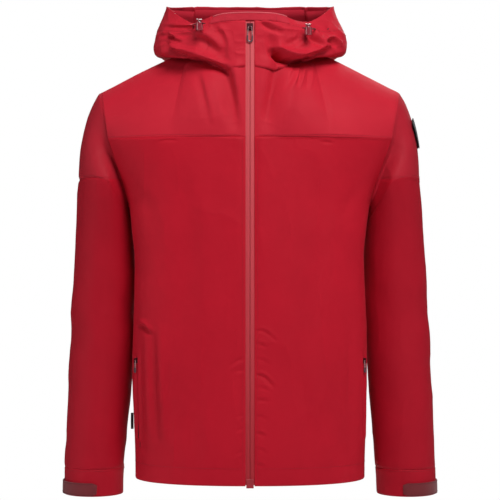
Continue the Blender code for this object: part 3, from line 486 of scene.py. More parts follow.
# ---------------------------------------------------------------- panels
class Panel:
    """A grid of fabric with its displaced surface, which stitches and trims can follow."""

    def __init__(self, surface, inside, size, counts, folds=None, turned="nsew", closed=False,
                 pinned=0.006, dips=None, west=ALLOWANCE, east=ALLOWANCE, tucked=False, pushed=None):
        high, wide = size
        dips = dips or {}
        self.up = self.shares(counts[0], high, "s" in turned, "n" in turned)
        if closed:
            self.across = np.linspace(0, 1, counts[1] + 1)[:-1]
        else:
            self.across = self.shares(counts[1], wide, "w" in turned, "e" in turned)
        self.size, self.closed = size, closed
        points = surface(self.up[:, None], self.across[None, :])
        self.flat = points
        if pushed is not None:
            points = points + pushed(points)
        normals = self.normals(points, inside)
        if folds is not None:
            seams = [edge for edge in turned if dips.get(edge, 1.0) != 0.0]
            points = points + normals * (folds(points) * self.hold(seams, pinned))[..., None]
        self.normal = normals
        self.points = points - normals * self.dip(turned, dips)[..., None]
        self.turned, self.west, self.east, self.tucked = turned, west, east, tucked
        self.turn_edges()

    @staticmethod
    def shares(count, length, low_turned, high_turned):
        """Shares from 0 to 1, with extra ones where an edge bends into its seam."""
        close = np.array([0.0, 0.0007, 0.0015, SEAM_ROUND]) / length
        start = close if low_turned else np.array([0.0])
        end = 1 - close[::-1] if high_turned else np.array([1.0])
        step = (end[0] - start[-1]) / (count + 1)
        middle = np.linspace(start[-1] + step, end[0] - step, count)
        return np.concatenate([start, middle, end])

    def normals(self, points, inside):
        """Unit normals that face away from a point inside the garment."""
        wide = points
        if self.closed:
            wide = np.concatenate([points[:, -1:], points, points[:, :1]], axis=1)
        along_up = np.gradient(wide, axis=0)
        along_across = np.gradient(wide, axis=1)
        normals = unit(np.cross(along_across, along_up))
        if self.closed:
            normals = normals[:, 1:-1]
        facing = np.sum(normals * (points - np.array(inside)))
        return normals if facing > 0 else -normals

    def edge_distance(self, edge):
        """How far each point is from the panel's s, n, w or e edge."""
        high, wide = self.size
        up, across = np.meshgrid(self.up, self.across, indexing="ij")
        distances = {"s": up * high, "n": (1 - up) * high, "w": across * wide,
                     "e": (1 - across) * wide}
        return distances[edge]

    def dip(self, turned, dips):
        """Depth of the valley at each seam; dips gives a share for an edge, 1 where it has none."""
        total = np.zeros((len(self.up), len(self.across)))
        for edge in turned:
            share = dips.get(edge, 1.0)
            if callable(share):
                share = share(self.across)[None, :]
            near = np.clip(1 - self.edge_distance(edge) / SEAM_ROUND, 0, 1)
            total = np.maximum(total, SEAM_DIP * share * near ** 2)
        return total

    def hold(self, turned, pinned):
        """Folds are flatter beside a seam, because the seam is stiffer."""
        hold = np.ones((len(self.up), len(self.across)))
        for edge in turned:
            hold *= spread(0.35, 1.0, smooth_step(self.edge_distance(edge) / pinned))
        return hold

    def turn_edges(self):
        """Turn the seam allowances of the current points inside."""
        turned = self.turned
        rows, outward = self.points, self.normal
        if "s" in turned:
            inward = outward[:1] * 0.25 + np.array([0.0, 0.0, 1.0]) if self.tucked else outward[:1]
            rows = np.concatenate([rows[:1] - inward * ALLOWANCE, rows])
            outward = np.concatenate([outward[:1], outward])
        if "n" in turned:
            rows = np.concatenate([rows, rows[-1:] - outward[-1:] * ALLOWANCE])
            outward = np.concatenate([outward, outward[-1:]])
        if "w" in turned:
            rows = np.concatenate([rows[:, :1] - outward[:, :1] * self.west, rows], axis=1)
            outward = np.concatenate([outward[:, :1], outward], axis=1)
        if "e" in turned:
            rows = np.concatenate([rows, rows[:, -1:] - outward[:, -1:] * self.east], axis=1)
            outward = np.concatenate([outward, outward[:, -1:]], axis=1)
        self.grid, self.outward = rows, outward

    def at(self, up, across, lift):
        """Points, lifted off the displaced surface, and normals at arrays of shares."""
        up, across = np.broadcast_arrays(np.asarray(up, dtype=float), across)
        row = np.interp(up, self.up, np.arange(len(self.up)))
        if self.closed:
            column = (across % 1.0) * len(self.across)
        else:
            column = np.interp(across, self.across, np.arange(len(self.across)))
        low_row = np.clip(row.astype(int), 0, len(self.up) - 2)
        low_column = column.astype(int)
        if not self.closed:
            low_column = np.clip(low_column, 0, len(self.across) - 2)
        high_column = (low_column + 1) % len(self.across)
        low_column = low_column % len(self.across)
        part_row, part_column = (row - low_row)[..., None], (column - np.floor(column))[..., None]
        if not self.closed:
            part_column = (column - low_column)[..., None]
        results = []
        for field in (self.points, self.normal):
            low = field[low_row, low_column] * (1 - part_column) + field[low_row, high_column] * part_column
            high = (field[low_row + 1, low_column] * (1 - part_column)
                    + field[low_row + 1, high_column] * part_column)
            results.append(low * (1 - part_row) + high * part_row)
        normal = unit(results[1])
        return results[0] + normal * lift, normal


def grid_object(name, grid, looks, closed, thickness, outward):
    """A mesh from a grid of points, with UVs in metres, thickened to the inside.

    looks are the outer and the inner material; outward gives each point's outer side.
    """
    rows, columns = grid.shape[:2]
    index = np.arange(rows * columns).reshape(rows, columns)
    ring = np.concatenate([index, index[:, :1]], axis=1) if closed else index
    faces = np.stack([ring[:-1, :-1], ring[:-1, 1:], ring[1:, 1:], ring[1:, :-1]], axis=-1)
    faces = faces.reshape(-1, 4)
    places = grid.reshape(-1, 3)
    corner = places[faces]
    normal = np.cross(corner[:, 1] - corner[:, 0], corner[:, 3] - corner[:, 0])
    if np.sum(normal * outward.reshape(-1, 3)[faces[:, 0]]) < 0:
        faces = faces[:, ::-1]
    mesh = bpy.data.meshes.new(name)
    mesh.from_pydata((places - HANG_POINT).tolist(), [], faces.tolist())
    lengths_up = np.linalg.norm(np.diff(grid, axis=0), axis=-1).mean(axis=1)
    closing = np.concatenate([grid, grid[:, :1]], axis=1) if closed else grid
    lengths_across = np.linalg.norm(np.diff(closing, axis=1), axis=-1).mean(axis=0)
    v = np.concatenate([[0], np.cumsum(lengths_up)])
    u = np.concatenate([[0], np.cumsum(lengths_across)])
    layer = mesh.uv_layers.new(name="metres")
    vertex = np.empty(len(mesh.loops), dtype=np.int64)
    mesh.loops.foreach_get("vertex_index", vertex)
    row, column = vertex // columns, vertex % columns
    if closed:
        face_has_last = (faces % columns == columns - 1).any(axis=1)
        face_has_first = (faces % columns == 0).any(axis=1)
        wraps = np.repeat(face_has_last & face_has_first, 4)
        column = np.where(wraps & (column == 0), columns, column)
    uv = np.stack([u[column], v[row]], axis=-1)
    layer.data.foreach_set("uv", uv.ravel())
    for look in looks:
        mesh.materials.append(look)
    mesh.shade_smooth()
    obj = bpy.data.objects.new(name, mesh)
    bpy.context.scene.collection.objects.link(obj)
    solidify = obj.modifiers.new("thickness", "SOLIDIFY")
    solidify.thickness = thickness
    solidify.offset = -1.0
    solidify.material_offset = 1
    return obj


def finish_piece(obj, body, slot, *nodes):
    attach(obj, body)
    if nodes:
        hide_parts(*nodes)
    return obj


def sew(name, panel, looks, slot, node, body="jacket", thickness=CLOTH):
    obj = grid_object(name, panel.grid, looks, panel.closed, thickness, panel.outward)
    finish_piece(obj, body, slot, node)
    return obj


# ---------------------------------------------------------------- stitches
STITCH_ROWS = []


def stitch_row(panel, up, across):
    """Keep a row of stitches along shares of the panel; all rows are built together."""
    STITCH_ROWS.append(panel.at(up, across, STITCH_LIFT))


def build_stitches(name, rows, look, body="jacket", slot="shell_lower"):
    """One mesh of short stitches along rows of points and normals."""
    vertices, faces = [], []
    corners = 5
    around = np.radians(np.arange(corners) * 360.0 / corners)
    for points, normals in rows:
        steps = np.linalg.norm(np.diff(points, axis=0), axis=1)
        walked = np.concatenate([[0], np.cumsum(steps)])
        starts = np.arange(0.0005, walked[-1] - STITCH_LENGTH, STITCH_LENGTH + STITCH_GAP)
        for start in starts:
            ring_start = len(vertices)
            normal = unit(sample(normals, walked, start + STITCH_LENGTH / 2))
            ahead = unit(sample(points, walked, start + STITCH_LENGTH)
                         - sample(points, walked, start))
            beside = np.cross(normal, ahead)
            for share, rise, radius in STITCH_RINGS:
                centre = sample(points, walked, start + STITCH_LENGTH * share) + normal * rise * THREAD
                ring = (centre + np.cos(around)[:, None] * beside * THREAD * radius
                        + np.sin(around)[:, None] * normal * THREAD * radius)
                vertices.extend(ring)
            last = ring_start + (len(STITCH_RINGS) - 1) * corners
            for first in range(ring_start, last, corners):
                for corner in range(corners):
                    after = first + (corner + 1) % corners
                    faces.append((first + corner, after, after + corners, first + corner + corners))
            faces.append(tuple(ring_start + corner for corner in reversed(range(corners))))
            faces.append(tuple(last + corner for corner in range(corners)))
    mesh = bpy.data.meshes.new(name)
    mesh.from_pydata((np.array(vertices) - HANG_POINT).tolist(), [], faces)
    mesh.materials.append(look)
    mesh.shade_smooth()
    obj = bpy.data.objects.new(name, mesh)
    bpy.context.scene.collection.objects.link(obj)
    return finish_piece(obj, body, slot)


def sample(field, walked, place):
    return np.array([np.interp(place, walked, field[:, axis]) for axis in range(3)])


# ---------------------------------------------------------------- materials
def srgb(red, green, blue):
    def linear(value):
        share = value / 255.0
        return share / 12.92 if share <= 0.04045 else ((share + 0.055) / 1.055) ** 2.4
    return (linear(red), linear(green), linear(blue), 1.0)


class Nodes:
    """Small helper that adds and links nodes of one material."""

    def __init__(self, name):
        self.material = bpy.data.materials.new(name)
        self.material.use_nodes = True
        self.tree = self.material.node_tree
        self.shader = self.tree.nodes["Principled BSDF"]

    def add(self, kind, **values):
        node = self.tree.nodes.new(kind)
        for key, value in values.items():
            if hasattr(node, key) and key not in node.inputs:
                setattr(node, key, value)
            else:
                node.inputs[key].default_value = value
        return node

    def link(self, source, target):
        self.tree.links.new(source, target)

    def uv(self):
        node = self.add("ShaderNodeUVMap")
        node.uv_map = "metres"
        return node.outputs["UV"]

    def place(self):
        return self.add("ShaderNodeTexCoord").outputs["Object"]

    def noise(self, vector, scale, detail=3.0, roughness=0.55):
        node = self.add("ShaderNodeTexNoise", Scale=scale, Detail=detail, Roughness=roughness)
        self.link(vector, node.inputs["Vector"])
        return node.outputs["Fac"]

    def wave(self, vector, period, direction):
        node = self.add("ShaderNodeTexWave", Scale=2 * math.pi / (20 * period), Distortion=0.0)
        node.bands_direction = direction
        self.link(vector, node.inputs["Vector"])
        return node.outputs["Fac"]

    def math(self, operation, first, second):
        node = self.add("ShaderNodeMath")
        node.operation = operation
        for socket, value in zip(node.inputs, (first, second)):
            if isinstance(value, (int, float)):
                socket.default_value = value
            else:
                self.link(value, socket)
        return node.outputs["Value"]

    def ramp(self, source, stops):
        node = self.add("ShaderNodeValToRGB")
        elements = node.color_ramp.elements
        while len(elements) < len(stops):
            elements.new(0.5)
        for element, (place, colour) in zip(elements, stops):
            element.position = place
            element.color = colour
        self.link(source, node.inputs["Fac"])
        return node.outputs["Color"]

    def mix(self, share, first, second, blend="MIX"):
        node = self.add("ShaderNodeMix")
        node.data_type = "RGBA"
        node.blend_type = blend
        sockets = [socket for socket in node.inputs if socket.type == "RGBA"]
        self.set(node.inputs[0], share)
        self.set(sockets[0], first)
        self.set(sockets[1], second)
        return [socket for socket in node.outputs if socket.type == "RGBA"][0]

    def fix(self, values):
        """Set even values straight on the shader."""
        for name, value in values.items():
            self.shader.inputs[name].default_value = value

    def set(self, socket, value):
        if hasattr(value, "is_linked") or hasattr(value, "links"):
            self.link(value, socket)
        else:
            socket.default_value = value

    def span(self, source, low, high, full=1.0):
        """Map a source from 0 to full onto low to high."""
        node = self.add("ShaderNodeMapRange")
        node.inputs["From Max"].default_value = full
        node.inputs["To Min"].default_value = low
        node.inputs["To Max"].default_value = high
        self.link(source, node.inputs["Value"])
        return node.outputs["Result"]

    def over_height(self, height):
        """1 above a height of the garment and 0 below it."""
        split = self.add("ShaderNodeSeparateXYZ")
        self.link(self.place(), split.inputs["Vector"])
        return self.math("GREATER_THAN", split.outputs["Z"], height - float(HANG_POINT[2]))

    def bump(self, height, distance, strength, onto=None):
        node = self.add("ShaderNodeBump", Strength=strength, Distance=distance)
        self.link(height, node.inputs["Height"])
        if onto is not None:
            self.link(onto, node.inputs["Normal"])
        return node.outputs["Normal"]


def grey(value):
    return (value, value, value, 1.0)


def scaled(colour, factor):
    return (*[min(1.0, channel * factor) for channel in colour[:3]], 1.0)


def fabric_look(name, colour, pitch=0.0007, roughness=(0.52, 0.68), sheen=0.03,
                weave_depth=0.00012, below=None):
    """Coated plain weave: threads both ways, cloudy tone, small scuffs and a soft sheen.

    below is a height and the colour of the cloth under it, for a seam inside one piece.
    """
    nodes = Nodes(name)
    uv = nodes.uv()
    warp, weft = nodes.wave(uv, pitch, "X"), nodes.wave(uv, pitch * 0.9, "Y")
    weave = nodes.math("MULTIPLY", warp, weft)
    clouds = nodes.noise(uv, 9.0, 4.0)
    grain = nodes.noise(uv, 420.0, 2.0)
    if below is not None:
        height, low_colour = below
        colour = nodes.mix(nodes.over_height(height), low_colour, colour)
    shade = nodes.ramp(clouds, [(0.25, grey(0.86)), (0.5, grey(0.93)), (0.75, grey(1))])
    shade = nodes.mix(nodes.span(grain, 0.0, 0.22), shade, grey(0.74))
    shade = nodes.mix(nodes.span(weave, 0.12, 0.0), shade, grey(0.58))
    tone = nodes.mix(1.0, shade, colour, "MULTIPLY")
    nodes.link(tone, nodes.shader.inputs["Base Color"])
    rough = nodes.span(nodes.noise(uv, 60.0, 3.0), *roughness)
    nodes.link(rough, nodes.shader.inputs["Roughness"])
    crumple = nodes.bump(nodes.noise(uv, 110.0, 3.0), 0.00035, 0.5)
    nodes.link(nodes.bump(weave, weave_depth, 0.6, crumple), nodes.shader.inputs["Normal"])
    nodes.fix({"Specular IOR Level": 0.14, "Sheen Weight": sheen, "Sheen Roughness": 0.45,
               "Sheen Tint": (1.0, 0.35, 0.38, 1.0)})
    return nodes.material


def webbing_look(name, colour, rib=0.0011):
    """Woven tape with ribs across it and worn, lighter threads."""
    nodes = Nodes(name)
    uv = nodes.uv()
    ribs = nodes.wave(uv, rib, "Y")
    fuzz = nodes.noise(uv, 900.0, 3.0)
    tone = nodes.ramp(fuzz, [(0.3, scaled(colour, 0.7)), (0.55, colour), (0.8, scaled(colour, 1.9))])
    nodes.link(nodes.mix(nodes.span(ribs, 0.25, 0.0), tone, scaled(colour, 0.5)),
               nodes.shader.inputs["Base Color"])
    nodes.link(nodes.span(fuzz, 0.65, 0.9), nodes.shader.inputs["Roughness"])
    nodes.link(nodes.bump(ribs, 0.0002, 0.8, nodes.bump(fuzz, 0.0003, 0.6)),
               nodes.shader.inputs["Normal"])
    nodes.fix({"Sheen Weight": 0.15})
    return nodes.material


def moulded_look(name, colour, roughness, metallic=0.0, wear=0.0, coat=0.0):
    """Moulded or cast surface with a fine grain, small scratches and uneven gloss."""
    nodes = Nodes(name)
    place = nodes.place()
    grain = nodes.noise(place, 1600.0, 2.0)
    scuffs = nodes.noise(place, 190.0, 6.0, 0.7)
    tone = nodes.ramp(scuffs, [(0.35, scaled(colour, 0.88)), (0.6, colour),
                               (0.78, scaled(colour, 1.10 + wear))])
    nodes.link(tone, nodes.shader.inputs["Base Color"])
    nodes.link(nodes.span(scuffs, roughness * 0.8, min(1.0, roughness * 1.35)),
               nodes.shader.inputs["Roughness"])
    nodes.link(nodes.bump(grain, 0.00005, 0.5), nodes.shader.inputs["Normal"])
    nodes.fix({"Metallic": metallic, "Coat Weight": coat})
    return nodes.material


def braid_look(name, colour, pitch=0.0016):
    """Braided cord: strands crossing both ways round it."""
    nodes = Nodes(name)
    place = nodes.place()
    first = nodes.add("ShaderNodeTexWave", Scale=2 * math.pi / (20 * pitch), Distortion=1.2)
    first.bands_direction = "DIAGONAL"
    nodes.link(place, first.inputs["Vector"])
    fuzz = nodes.noise(place, 1500.0, 3.0)
    tone = nodes.ramp(first.outputs["Fac"], [(0.1, scaled(colour, 0.6)), (0.6, colour),
                                             (0.95, scaled(colour, 1.25))])
    nodes.link(nodes.mix(nodes.span(fuzz, 0.0, 0.5), tone, scaled(colour, 0.75)),
               nodes.shader.inputs["Base Color"])
    nodes.link(nodes.span(fuzz, 0.6, 0.85), nodes.shader.inputs["Roughness"])
    nodes.link(nodes.bump(first.outputs["Fac"], 0.0003, 0.9), nodes.shader.inputs["Normal"])
    return nodes.material


def zip_tape_look(name):
    """Laminated water-resistant tape: satin film and faint coil ribs, with painted light making its colour
    lighter towards the top.
    """
    nodes = Nodes(name)
    uv = nodes.uv()
    split = nodes.add("ShaderNodeSeparateXYZ")
    nodes.link(uv, split.inputs["Vector"])
    # painted light: the colour ramps from dark at the tape's foot to light pink at its top, as light from
    # above falls on it
    rise = nodes.span(split.outputs["Y"], 0.0, 1.0, TAPE_LIGHT_GRADIENT_LENGTH)
    low, middle, high = srgb(176, 38, 48), srgb(208, 70, 80), srgb(218, 84, 92)
    tone = nodes.ramp(rise, [(0.0, low), (0.55, middle), (0.92, high)])
    ribs = nodes.wave(uv, COIL_PITCH, "Y")
    scuffs = nodes.noise(uv, 240.0, 5.0, 0.7)
    tone = nodes.mix(nodes.span(scuffs, 0.0, 0.25), tone, srgb(160, 44, 54))
    nodes.link(tone, nodes.shader.inputs["Base Color"])
    nodes.link(nodes.span(scuffs, 0.38, 0.56), nodes.shader.inputs["Roughness"])
    nodes.link(nodes.bump(ribs, 0.00012, 0.5), nodes.shader.inputs["Normal"])
    nodes.fix({"Specular IOR Level": 0.30})
    return nodes.material


# The upper panels are coloured lighter than the lower ones: partly the fabrics' own two tones, partly
# painted light from above.
UPPER_COLOUR, LOWER_COLOUR = srgb(210, 34, 54), srgb(200, 18, 42)
CAP_COLOUR, SLEEVE_COLOUR = srgb(190, 32, 50), srgb(188, 17, 40)
UPPER = fabric_look("shell_upper_weave", UPPER_COLOUR)
LOWER = fabric_look("shell_lower_weave", LOWER_COLOUR)
SLEEVE = fabric_look("sleeve_weave", SLEEVE_COLOUR)
CAP = fabric_look("sleeve_cap_weave", CAP_COLOUR, below=(SLEEVE_SEAM, SLEEVE_COLOUR))
LINING = fabric_look("lining_knit", srgb(198, 36, 56), pitch=0.0011, roughness=(0.7, 0.85),
                     sheen=0.05, weave_depth=0.0002)
BAND = fabric_look("chin_band_tricot", srgb(206, 44, 62), pitch=0.0010, roughness=(0.7, 0.85),
                   sheen=0.10, weave_depth=0.0002)
MESH = fabric_look("pocket_mesh", srgb(70, 70, 74), pitch=0.0018, roughness=(0.8, 0.95),
                   sheen=0.05, weave_depth=0.0004)
TAB = webbing_look("cuff_tab_webbing", srgb(122, 26, 36))
LABEL = webbing_look("label_weave", srgb(26, 26, 29), rib=0.0006)
# painted highlight: the chin band's rounded rim is coloured light pink where it catches light from above
PIPING_HIGHLIGHT_LOOK = fabric_look("chin_band_binding", srgb(232, 104, 114), pitch=0.0006, sheen=0.10)
TAPE = zip_tape_look("zip_tape_film")
THREAD_LOOK = braid_look("thread", srgb(160, 22, 40), 0.0006)
DARK_THREAD = braid_look("dark_thread", srgb(74, 18, 26), 0.0006)
COIL = moulded_look("nylon_coil", srgb(96, 20, 30), 0.42)
METAL = moulded_look("painted_slider", srgb(84, 30, 40), 0.34, 0.60, 0.35)
PULL_CORD = braid_look("pull_cord_braid", srgb(170, 130, 134))
PULL_END = moulded_look("pull_end_rubber", srgb(96, 70, 78), 0.36, 0.0, 0.3, 0.3)
BOX = moulded_look("zip_box_plastic", srgb(168, 50, 60), 0.36, 0.0, 0.25, 0.1)
CORD = braid_look("drawcord_braid", srgb(104, 22, 34))
LOCK = moulded_look("cord_lock_plastic", srgb(150, 44, 58), 0.20, 0.0, 0.4, 0.6)
STEEL = moulded_look("spring_wire", srgb(190, 190, 195), 0.25, 1.0)

UPPER_LOOKS, LOWER_LOOKS = (UPPER, LINING), (LOWER, LINING)


# ---------------------------------------------------------------- body panels
def panel_height(share):
    stations = [(0.0, HEM_Z), (0.66, ARMPIT_Z), (0.78, 0.532), (1.0, YOKE_Z)]
    return through(stations, share)


def beside_zip(surface, up, across):
    """Shares across a surface, counted from the zip's edge instead of the centre line."""
    fine = np.linspace(0.0, 0.4, 240)
    rows = surface(up, fine[None, :])[..., 0]
    start = np.array([[np.interp(ZIP_EDGE_X, row, fine)] for row in rows])
    return start + (1 - start) * across


def ease_to_zip(points):
    """The fronts sink gently towards the zip tape."""
    beside = np.maximum(np.abs(points[..., 0]) - ZIP_EDGE_X, 0.0)
    return -ZIP_EASE * np.exp(-(beside / ZIP_EASE_WIDTH) ** 2)


def build_fronts():
    def front(up, across):
        z = panel_height(up) + 0 * across
        return body_point(body_limit(z) * across, z)

    for name, side in SIDES:
        def surface(up, across, side=side):
            return flip(front(up, beside_zip(front, up, across)), side)
        panel = Panel(surface, (0, 0, 0.4), (0.585, 0.245), (300, 170), front_folds, "nsew",
                      west=ZIP_TURN, east=ARMHOLE_TURN)
        open_pocket(panel, side)
        sew("front_panel_" + name + "_fabric", panel, LOWER_LOOKS, "shell_lower", "front_panel_" + name)
        rows = np.linspace(0.01, 0.99, 260)
        stitch_row(panel, rows, np.full(260, 0.012))
        stitch_row(panel, np.full(120, 0.040), np.linspace(0.02, 0.995, 120))
        build_front_yoke(name, side)


def open_pocket(panel, side):
    """Push the welt over the pocket's slot so that its two lips nearly meet."""
    low = body_point(math.radians(POCKET_ANGLE), np.array(POCKET_LOW_Z))
    high = body_point(math.radians(POCKET_ANGLE), np.array(POCKET_HIGH_Z))
    z = panel.points[..., 2]
    share = np.clip((z - POCKET_LOW_Z) / (POCKET_HIGH_Z - POCKET_LOW_Z), 0, 1)[..., None]
    centre = flip(low + (high - low) * share, side)
    gap = panel.points - centre
    beside = np.hypot(gap[..., 0], gap[..., 1])
    ends = smooth_step((z - POCKET_LOW_Z) / 0.012) * smooth_step((POCKET_HIGH_Z - z) / 0.012)
    welt = np.exp(-((beside - 0.0088) / 0.0036) ** 2) * 0.0014 * ends
    valley = np.exp(-(beside / 0.0042) ** 2) * 0.0022 * ends
    panel.points += panel.normal * (welt - valley)[..., None]
    panel.turn_edges()


def build_front_yoke(name, side):
    def yoke(up, across):
        return yoke_point(across * 0.9995, up * 0.9985)

    def surface(up, across):
        return flip(yoke(up, beside_zip(yoke, up, across)), side)
    panel = Panel(surface, (0, 0, 0.5), (0.135, 0.27), (90, 180), yoke_folds, "nsew", pinned=0.004,
                  dips={"n": 0.0}, west=ZIP_TURN, east=ARMHOLE_TURN, pushed=neck_push)
    sew("front_yoke_" + name + "_fabric", panel, UPPER_LOOKS, "shell_upper", "front_yoke_" + name)
    stitch_row(panel, np.full(150, 0.022), np.linspace(0.02, 0.99, 150))
    rows = np.linspace(0.02, 0.98, 90)
    stitch_row(panel, rows, np.full(90, 0.988))


def build_back():
    def surface(up, across):
        z = panel_height(up) + 0 * across
        share = across * 2 - 1
        return flip_by(body_point(body_limit(z) * np.abs(share), z, True), share)
    panel = Panel(surface, (0, 0, 0.4), (0.585, 0.50), (200, 180), body_drape)
    sew("back_panel_fabric", panel, LOWER_LOOKS, "shell_lower", "back_panel")
    stitch_row(panel, np.full(240, 0.040), np.linspace(0.005, 0.995, 240))

    def yoke(up, across):
        share = across * 2 - 1
        return flip_by(yoke_point(np.abs(share) * 0.9995, up * 0.9985, True), share)
    panel = Panel(yoke, (0, 0, 0.5), (0.18, 0.54), (70, 200), yoke_drape)
    sew("back_yoke_fabric", panel, UPPER_LOOKS, "shell_upper", "back_yoke")
    stitch_row(panel, np.full(260, 0.016), np.linspace(0.01, 0.99, 260))


def hollow_cap(points, turn, down):
    """Sink the sleeve cap beside the armhole, so that the body's edge stands over it."""
    fold = np.where(turn > 180.0, 360.0 - turn, turn)
    around = np.exp(-((fold - CAP_HOLLOW_TURN) / 44.0) ** 2)
    along = 0.45 * (1 - down) ** 2 + 0.75 * (down / 0.25) * np.exp(1 - down / 0.25) * (1 - down ** 2)
    inward = np.where(turn > 180.0, -1.0, 1.0)
    points[..., 1] += CAP_HOLLOW * around * along * inward
    return points


def outer_half(across):
    """Share of the seam's valley: most of it on the sleeve's outer half, none towards the body."""
    turn = np.where(across > 0.5, 1 - across, across) * 360.0
    return 0.7 - 0.7 * smooth_step((turn - 78.0) / 22.0)


def build_sleeves():
    for name, side in SIDES:
        def cap(up, across, side=side):
            turn = 360 * across + 0 * up
            return flip(hollow_cap(cap_point(turn, 1 - up), turn, 1 - up), side)

        def sleeve(up, across, side=side):
            turn = 360 * across
            return flip(sleeve_point(turn, spread(CUFF_TOP_Z, seam_height(turn) - 0.0002, up)), side)

        def cuff(up, across, side=side):
            return flip(sleeve_point(360 * across, spread(0.0, CUFF_TOP_Z, up)), side)
        arm = side * 0.25
        panel = Panel(cap, (arm, 0.01, 0.58), (0.13, 0.5), (90, 220), cap_drape, "ns", True,
                      dips={"s": outer_half})
        sew("sleeve_cap_" + name + "_fabric", panel, (CAP, LINING), "shell_upper", "sleeve_cap_" + name)
        outside = np.linspace(-0.22, 0.22, 110)
        stitch_row(panel, np.full(110, 0.030), outside)
        panel = Panel(sleeve, (arm, 0.02, 0.3), (0.49, 0.4), (230, 160), sleeve_drape, "ns", True,
                      dips={"n": outer_half})
        sew("sleeve_" + name + "_fabric", panel, (SLEEVE, LINING), "shell_lower", "sleeve_" + name)
        panel = Panel(cuff, (side * 0.273, 0.0, 0.02), (0.046, 0.34), (26, 160), cuff_drape, "ns",
                      True)
        sew("cuff_" + name + "_fabric", panel, (SLEEVE, LINING), "shell_lower", "cuff_" + name)
        stitch_row(panel, np.full(200, 0.94), np.linspace(0, 1, 220)[:200])


def cap_drape(points):
    """Sleeve folds, with the seam carried on across the front to the armhole."""
    seam = np.exp(-((points[..., 2] - SLEEVE_SEAM) / 0.0022) ** 2)
    seam *= smooth_step((0.286 - np.abs(points[..., 0])) / 0.02)
    return sleeve_drape(points) - 0.0009 * seam


def cuff_drape(points):
    return 0.5 * sleeve_drape(points)


# ---------------------------------------------------------------- hood
def build_hood():
    def front(up, across):
        return hood_point(spread(0.0, COLLAR_END - 0.05, across), spread(0.0, BAND_LOW - 0.001, up))

    for name, side in SIDES:
        def collar(up, across, side=side):
            return flip(front(up, beside_zip(front, up, across)), side)

        def hood_side(up, across, side=side):
            angle = spread(COLLAR_END + 0.05, CENTRE_SEAM - 0.05, across)
            return flip(hood_point(angle, up), side)

        def hem(up, across, side=side):
            angle = spread(COLLAR_END + 2.0, CENTRE_SEAM - 1.0, across)
            return flip(hood_under(angle, spread(0.80, 0.985, up), HEM_DEPTH), side)
        panel = Panel(collar, (side * 0.02, 0, 0.78), (0.075, 0.07), (60, 60), hood_folds, "nsew",
                      pinned=0.003, west=ZIP_TURN, dips={"s": 0.0, "e": 0.0}, tucked=True,
                      pushed=neck_push)
        sew("collar_front_" + name + "_fabric", panel, UPPER_LOOKS, "shell_upper",
            "collar_front_" + name)
        panel = Panel(hood_side, (side * 0.1, 0.02, 0.83), (0.12, 0.24), (130, 220), hood_folds,
                      "sew", pinned=0.004, dips={"w": 0.0, "s": 0.0}, tucked=True,
                      pushed=neck_push)
        sew("hood_side_" + name + "_fabric", panel, UPPER_LOOKS, "shell_upper", "hood_side_" + name)
        stitch_row(panel, np.full(200, 0.80), np.linspace(0.02, 0.98, 200))
        panel = Panel(hem, (side * 0.05, 0.0, 0.83), (0.02, 0.2), (4, 60), None, "")
        sew("hood_hem_" + name + "_fabric", panel, (LINING, LINING), "lining", "hood_hem_" + name)

    def centre(up, across):
        return hood_ring(spread(CENTRE_SEAM + 0.05, 360 - CENTRE_SEAM - 0.05, across), up)

    def visor(up, across):
        angle = spread(CENTRE_SEAM + 1.0, 360 - CENTRE_SEAM - 1.0, across)
        return hood_ring(angle, spread(0.80, 0.985, up)) - np.array([0.0, 0.0040, 0.0])

    def band(up, across):
        angle = spread(-COLLAR_END + 0.05, COLLAR_END - 0.05, across)
        return flip_by(hood_point(np.abs(angle), spread(BAND_LOW + 0.001, 1.0, up)), angle)
    panel = Panel(centre, (0, 0.05, 0.83), (0.2, 0.18), (120, 130), hood_folds, "sew", pinned=0.008)
    sew("hood_centre_fabric", panel, UPPER_LOOKS, "shell_upper", "hood_centre")
    panel = Panel(visor, (0, 0.0, 0.83), (0.02, 0.18), (4, 60), None, "")
    sew("hood_visor_fabric", panel, (LINING, LINING), "lining", "hood_visor")
    panel = Panel(band, (0, 0, 0.82), (0.018, 0.14), (14, 110), band_drape, "s")
    sew("chin_band_fabric", panel, (BAND, BAND), "lining", "chin_band")
    for place in (0.20, 0.82):
        stitch_row(panel, np.linspace(0.05, 0.95, 20), np.full(20, place))


def build_piping():
    """Rounded edge along the chin band's rim, coloured light pink as a painted highlight."""
    angle = np.linspace(-COLLAR_END, COLLAR_END, 120)
    rim = flip_by(hood_point(np.abs(angle), np.full(120, 1.0)), angle)
    ahead = unit(np.gradient(rim, axis=0))
    inward = unit(np.cross(ahead, np.array([0.0, 0.0, 1.0])))
    rise = np.cross(inward, ahead)
    turn = np.linspace(0, 2 * np.pi, 12, endpoint=False)[None, :, None]
    grid = rim[:, None, :] + PIPING * (np.cos(turn) * inward[:, None, :] + np.sin(turn) * rise[:, None, :])
    out = grid - rim[:, None, :]
    obj = grid_object("chin_band_piping", grid, (PIPING_HIGHLIGHT_LOOK, PIPING_HIGHLIGHT_LOOK), True, 0.0002, out)
    finish_piece(obj, "jacket", "lining")


def band_drape(points):
    return 0.0007 * noise(points, (0.02, 0.03, 0.02), 4.0) + 0.0003 * noise(points, (0.006,) * 3, 2.0)


def hood_under(angle, up, depth):
    """A point inside the hood, straight in from its surface by the depth."""
    step = 0.02
    angle, up = np.broadcast_arrays(np.asarray(angle, dtype=float), up)
    low, high = np.minimum(up, 1 - step), np.minimum(up + step, 1.0)
    along = hood_point(angle + 1, up) - hood_point(angle - 1, up)
    rise = hood_point(angle, high) - hood_point(angle, low)
    return hood_point(angle, up) - unit(np.cross(along, rise)) * depth


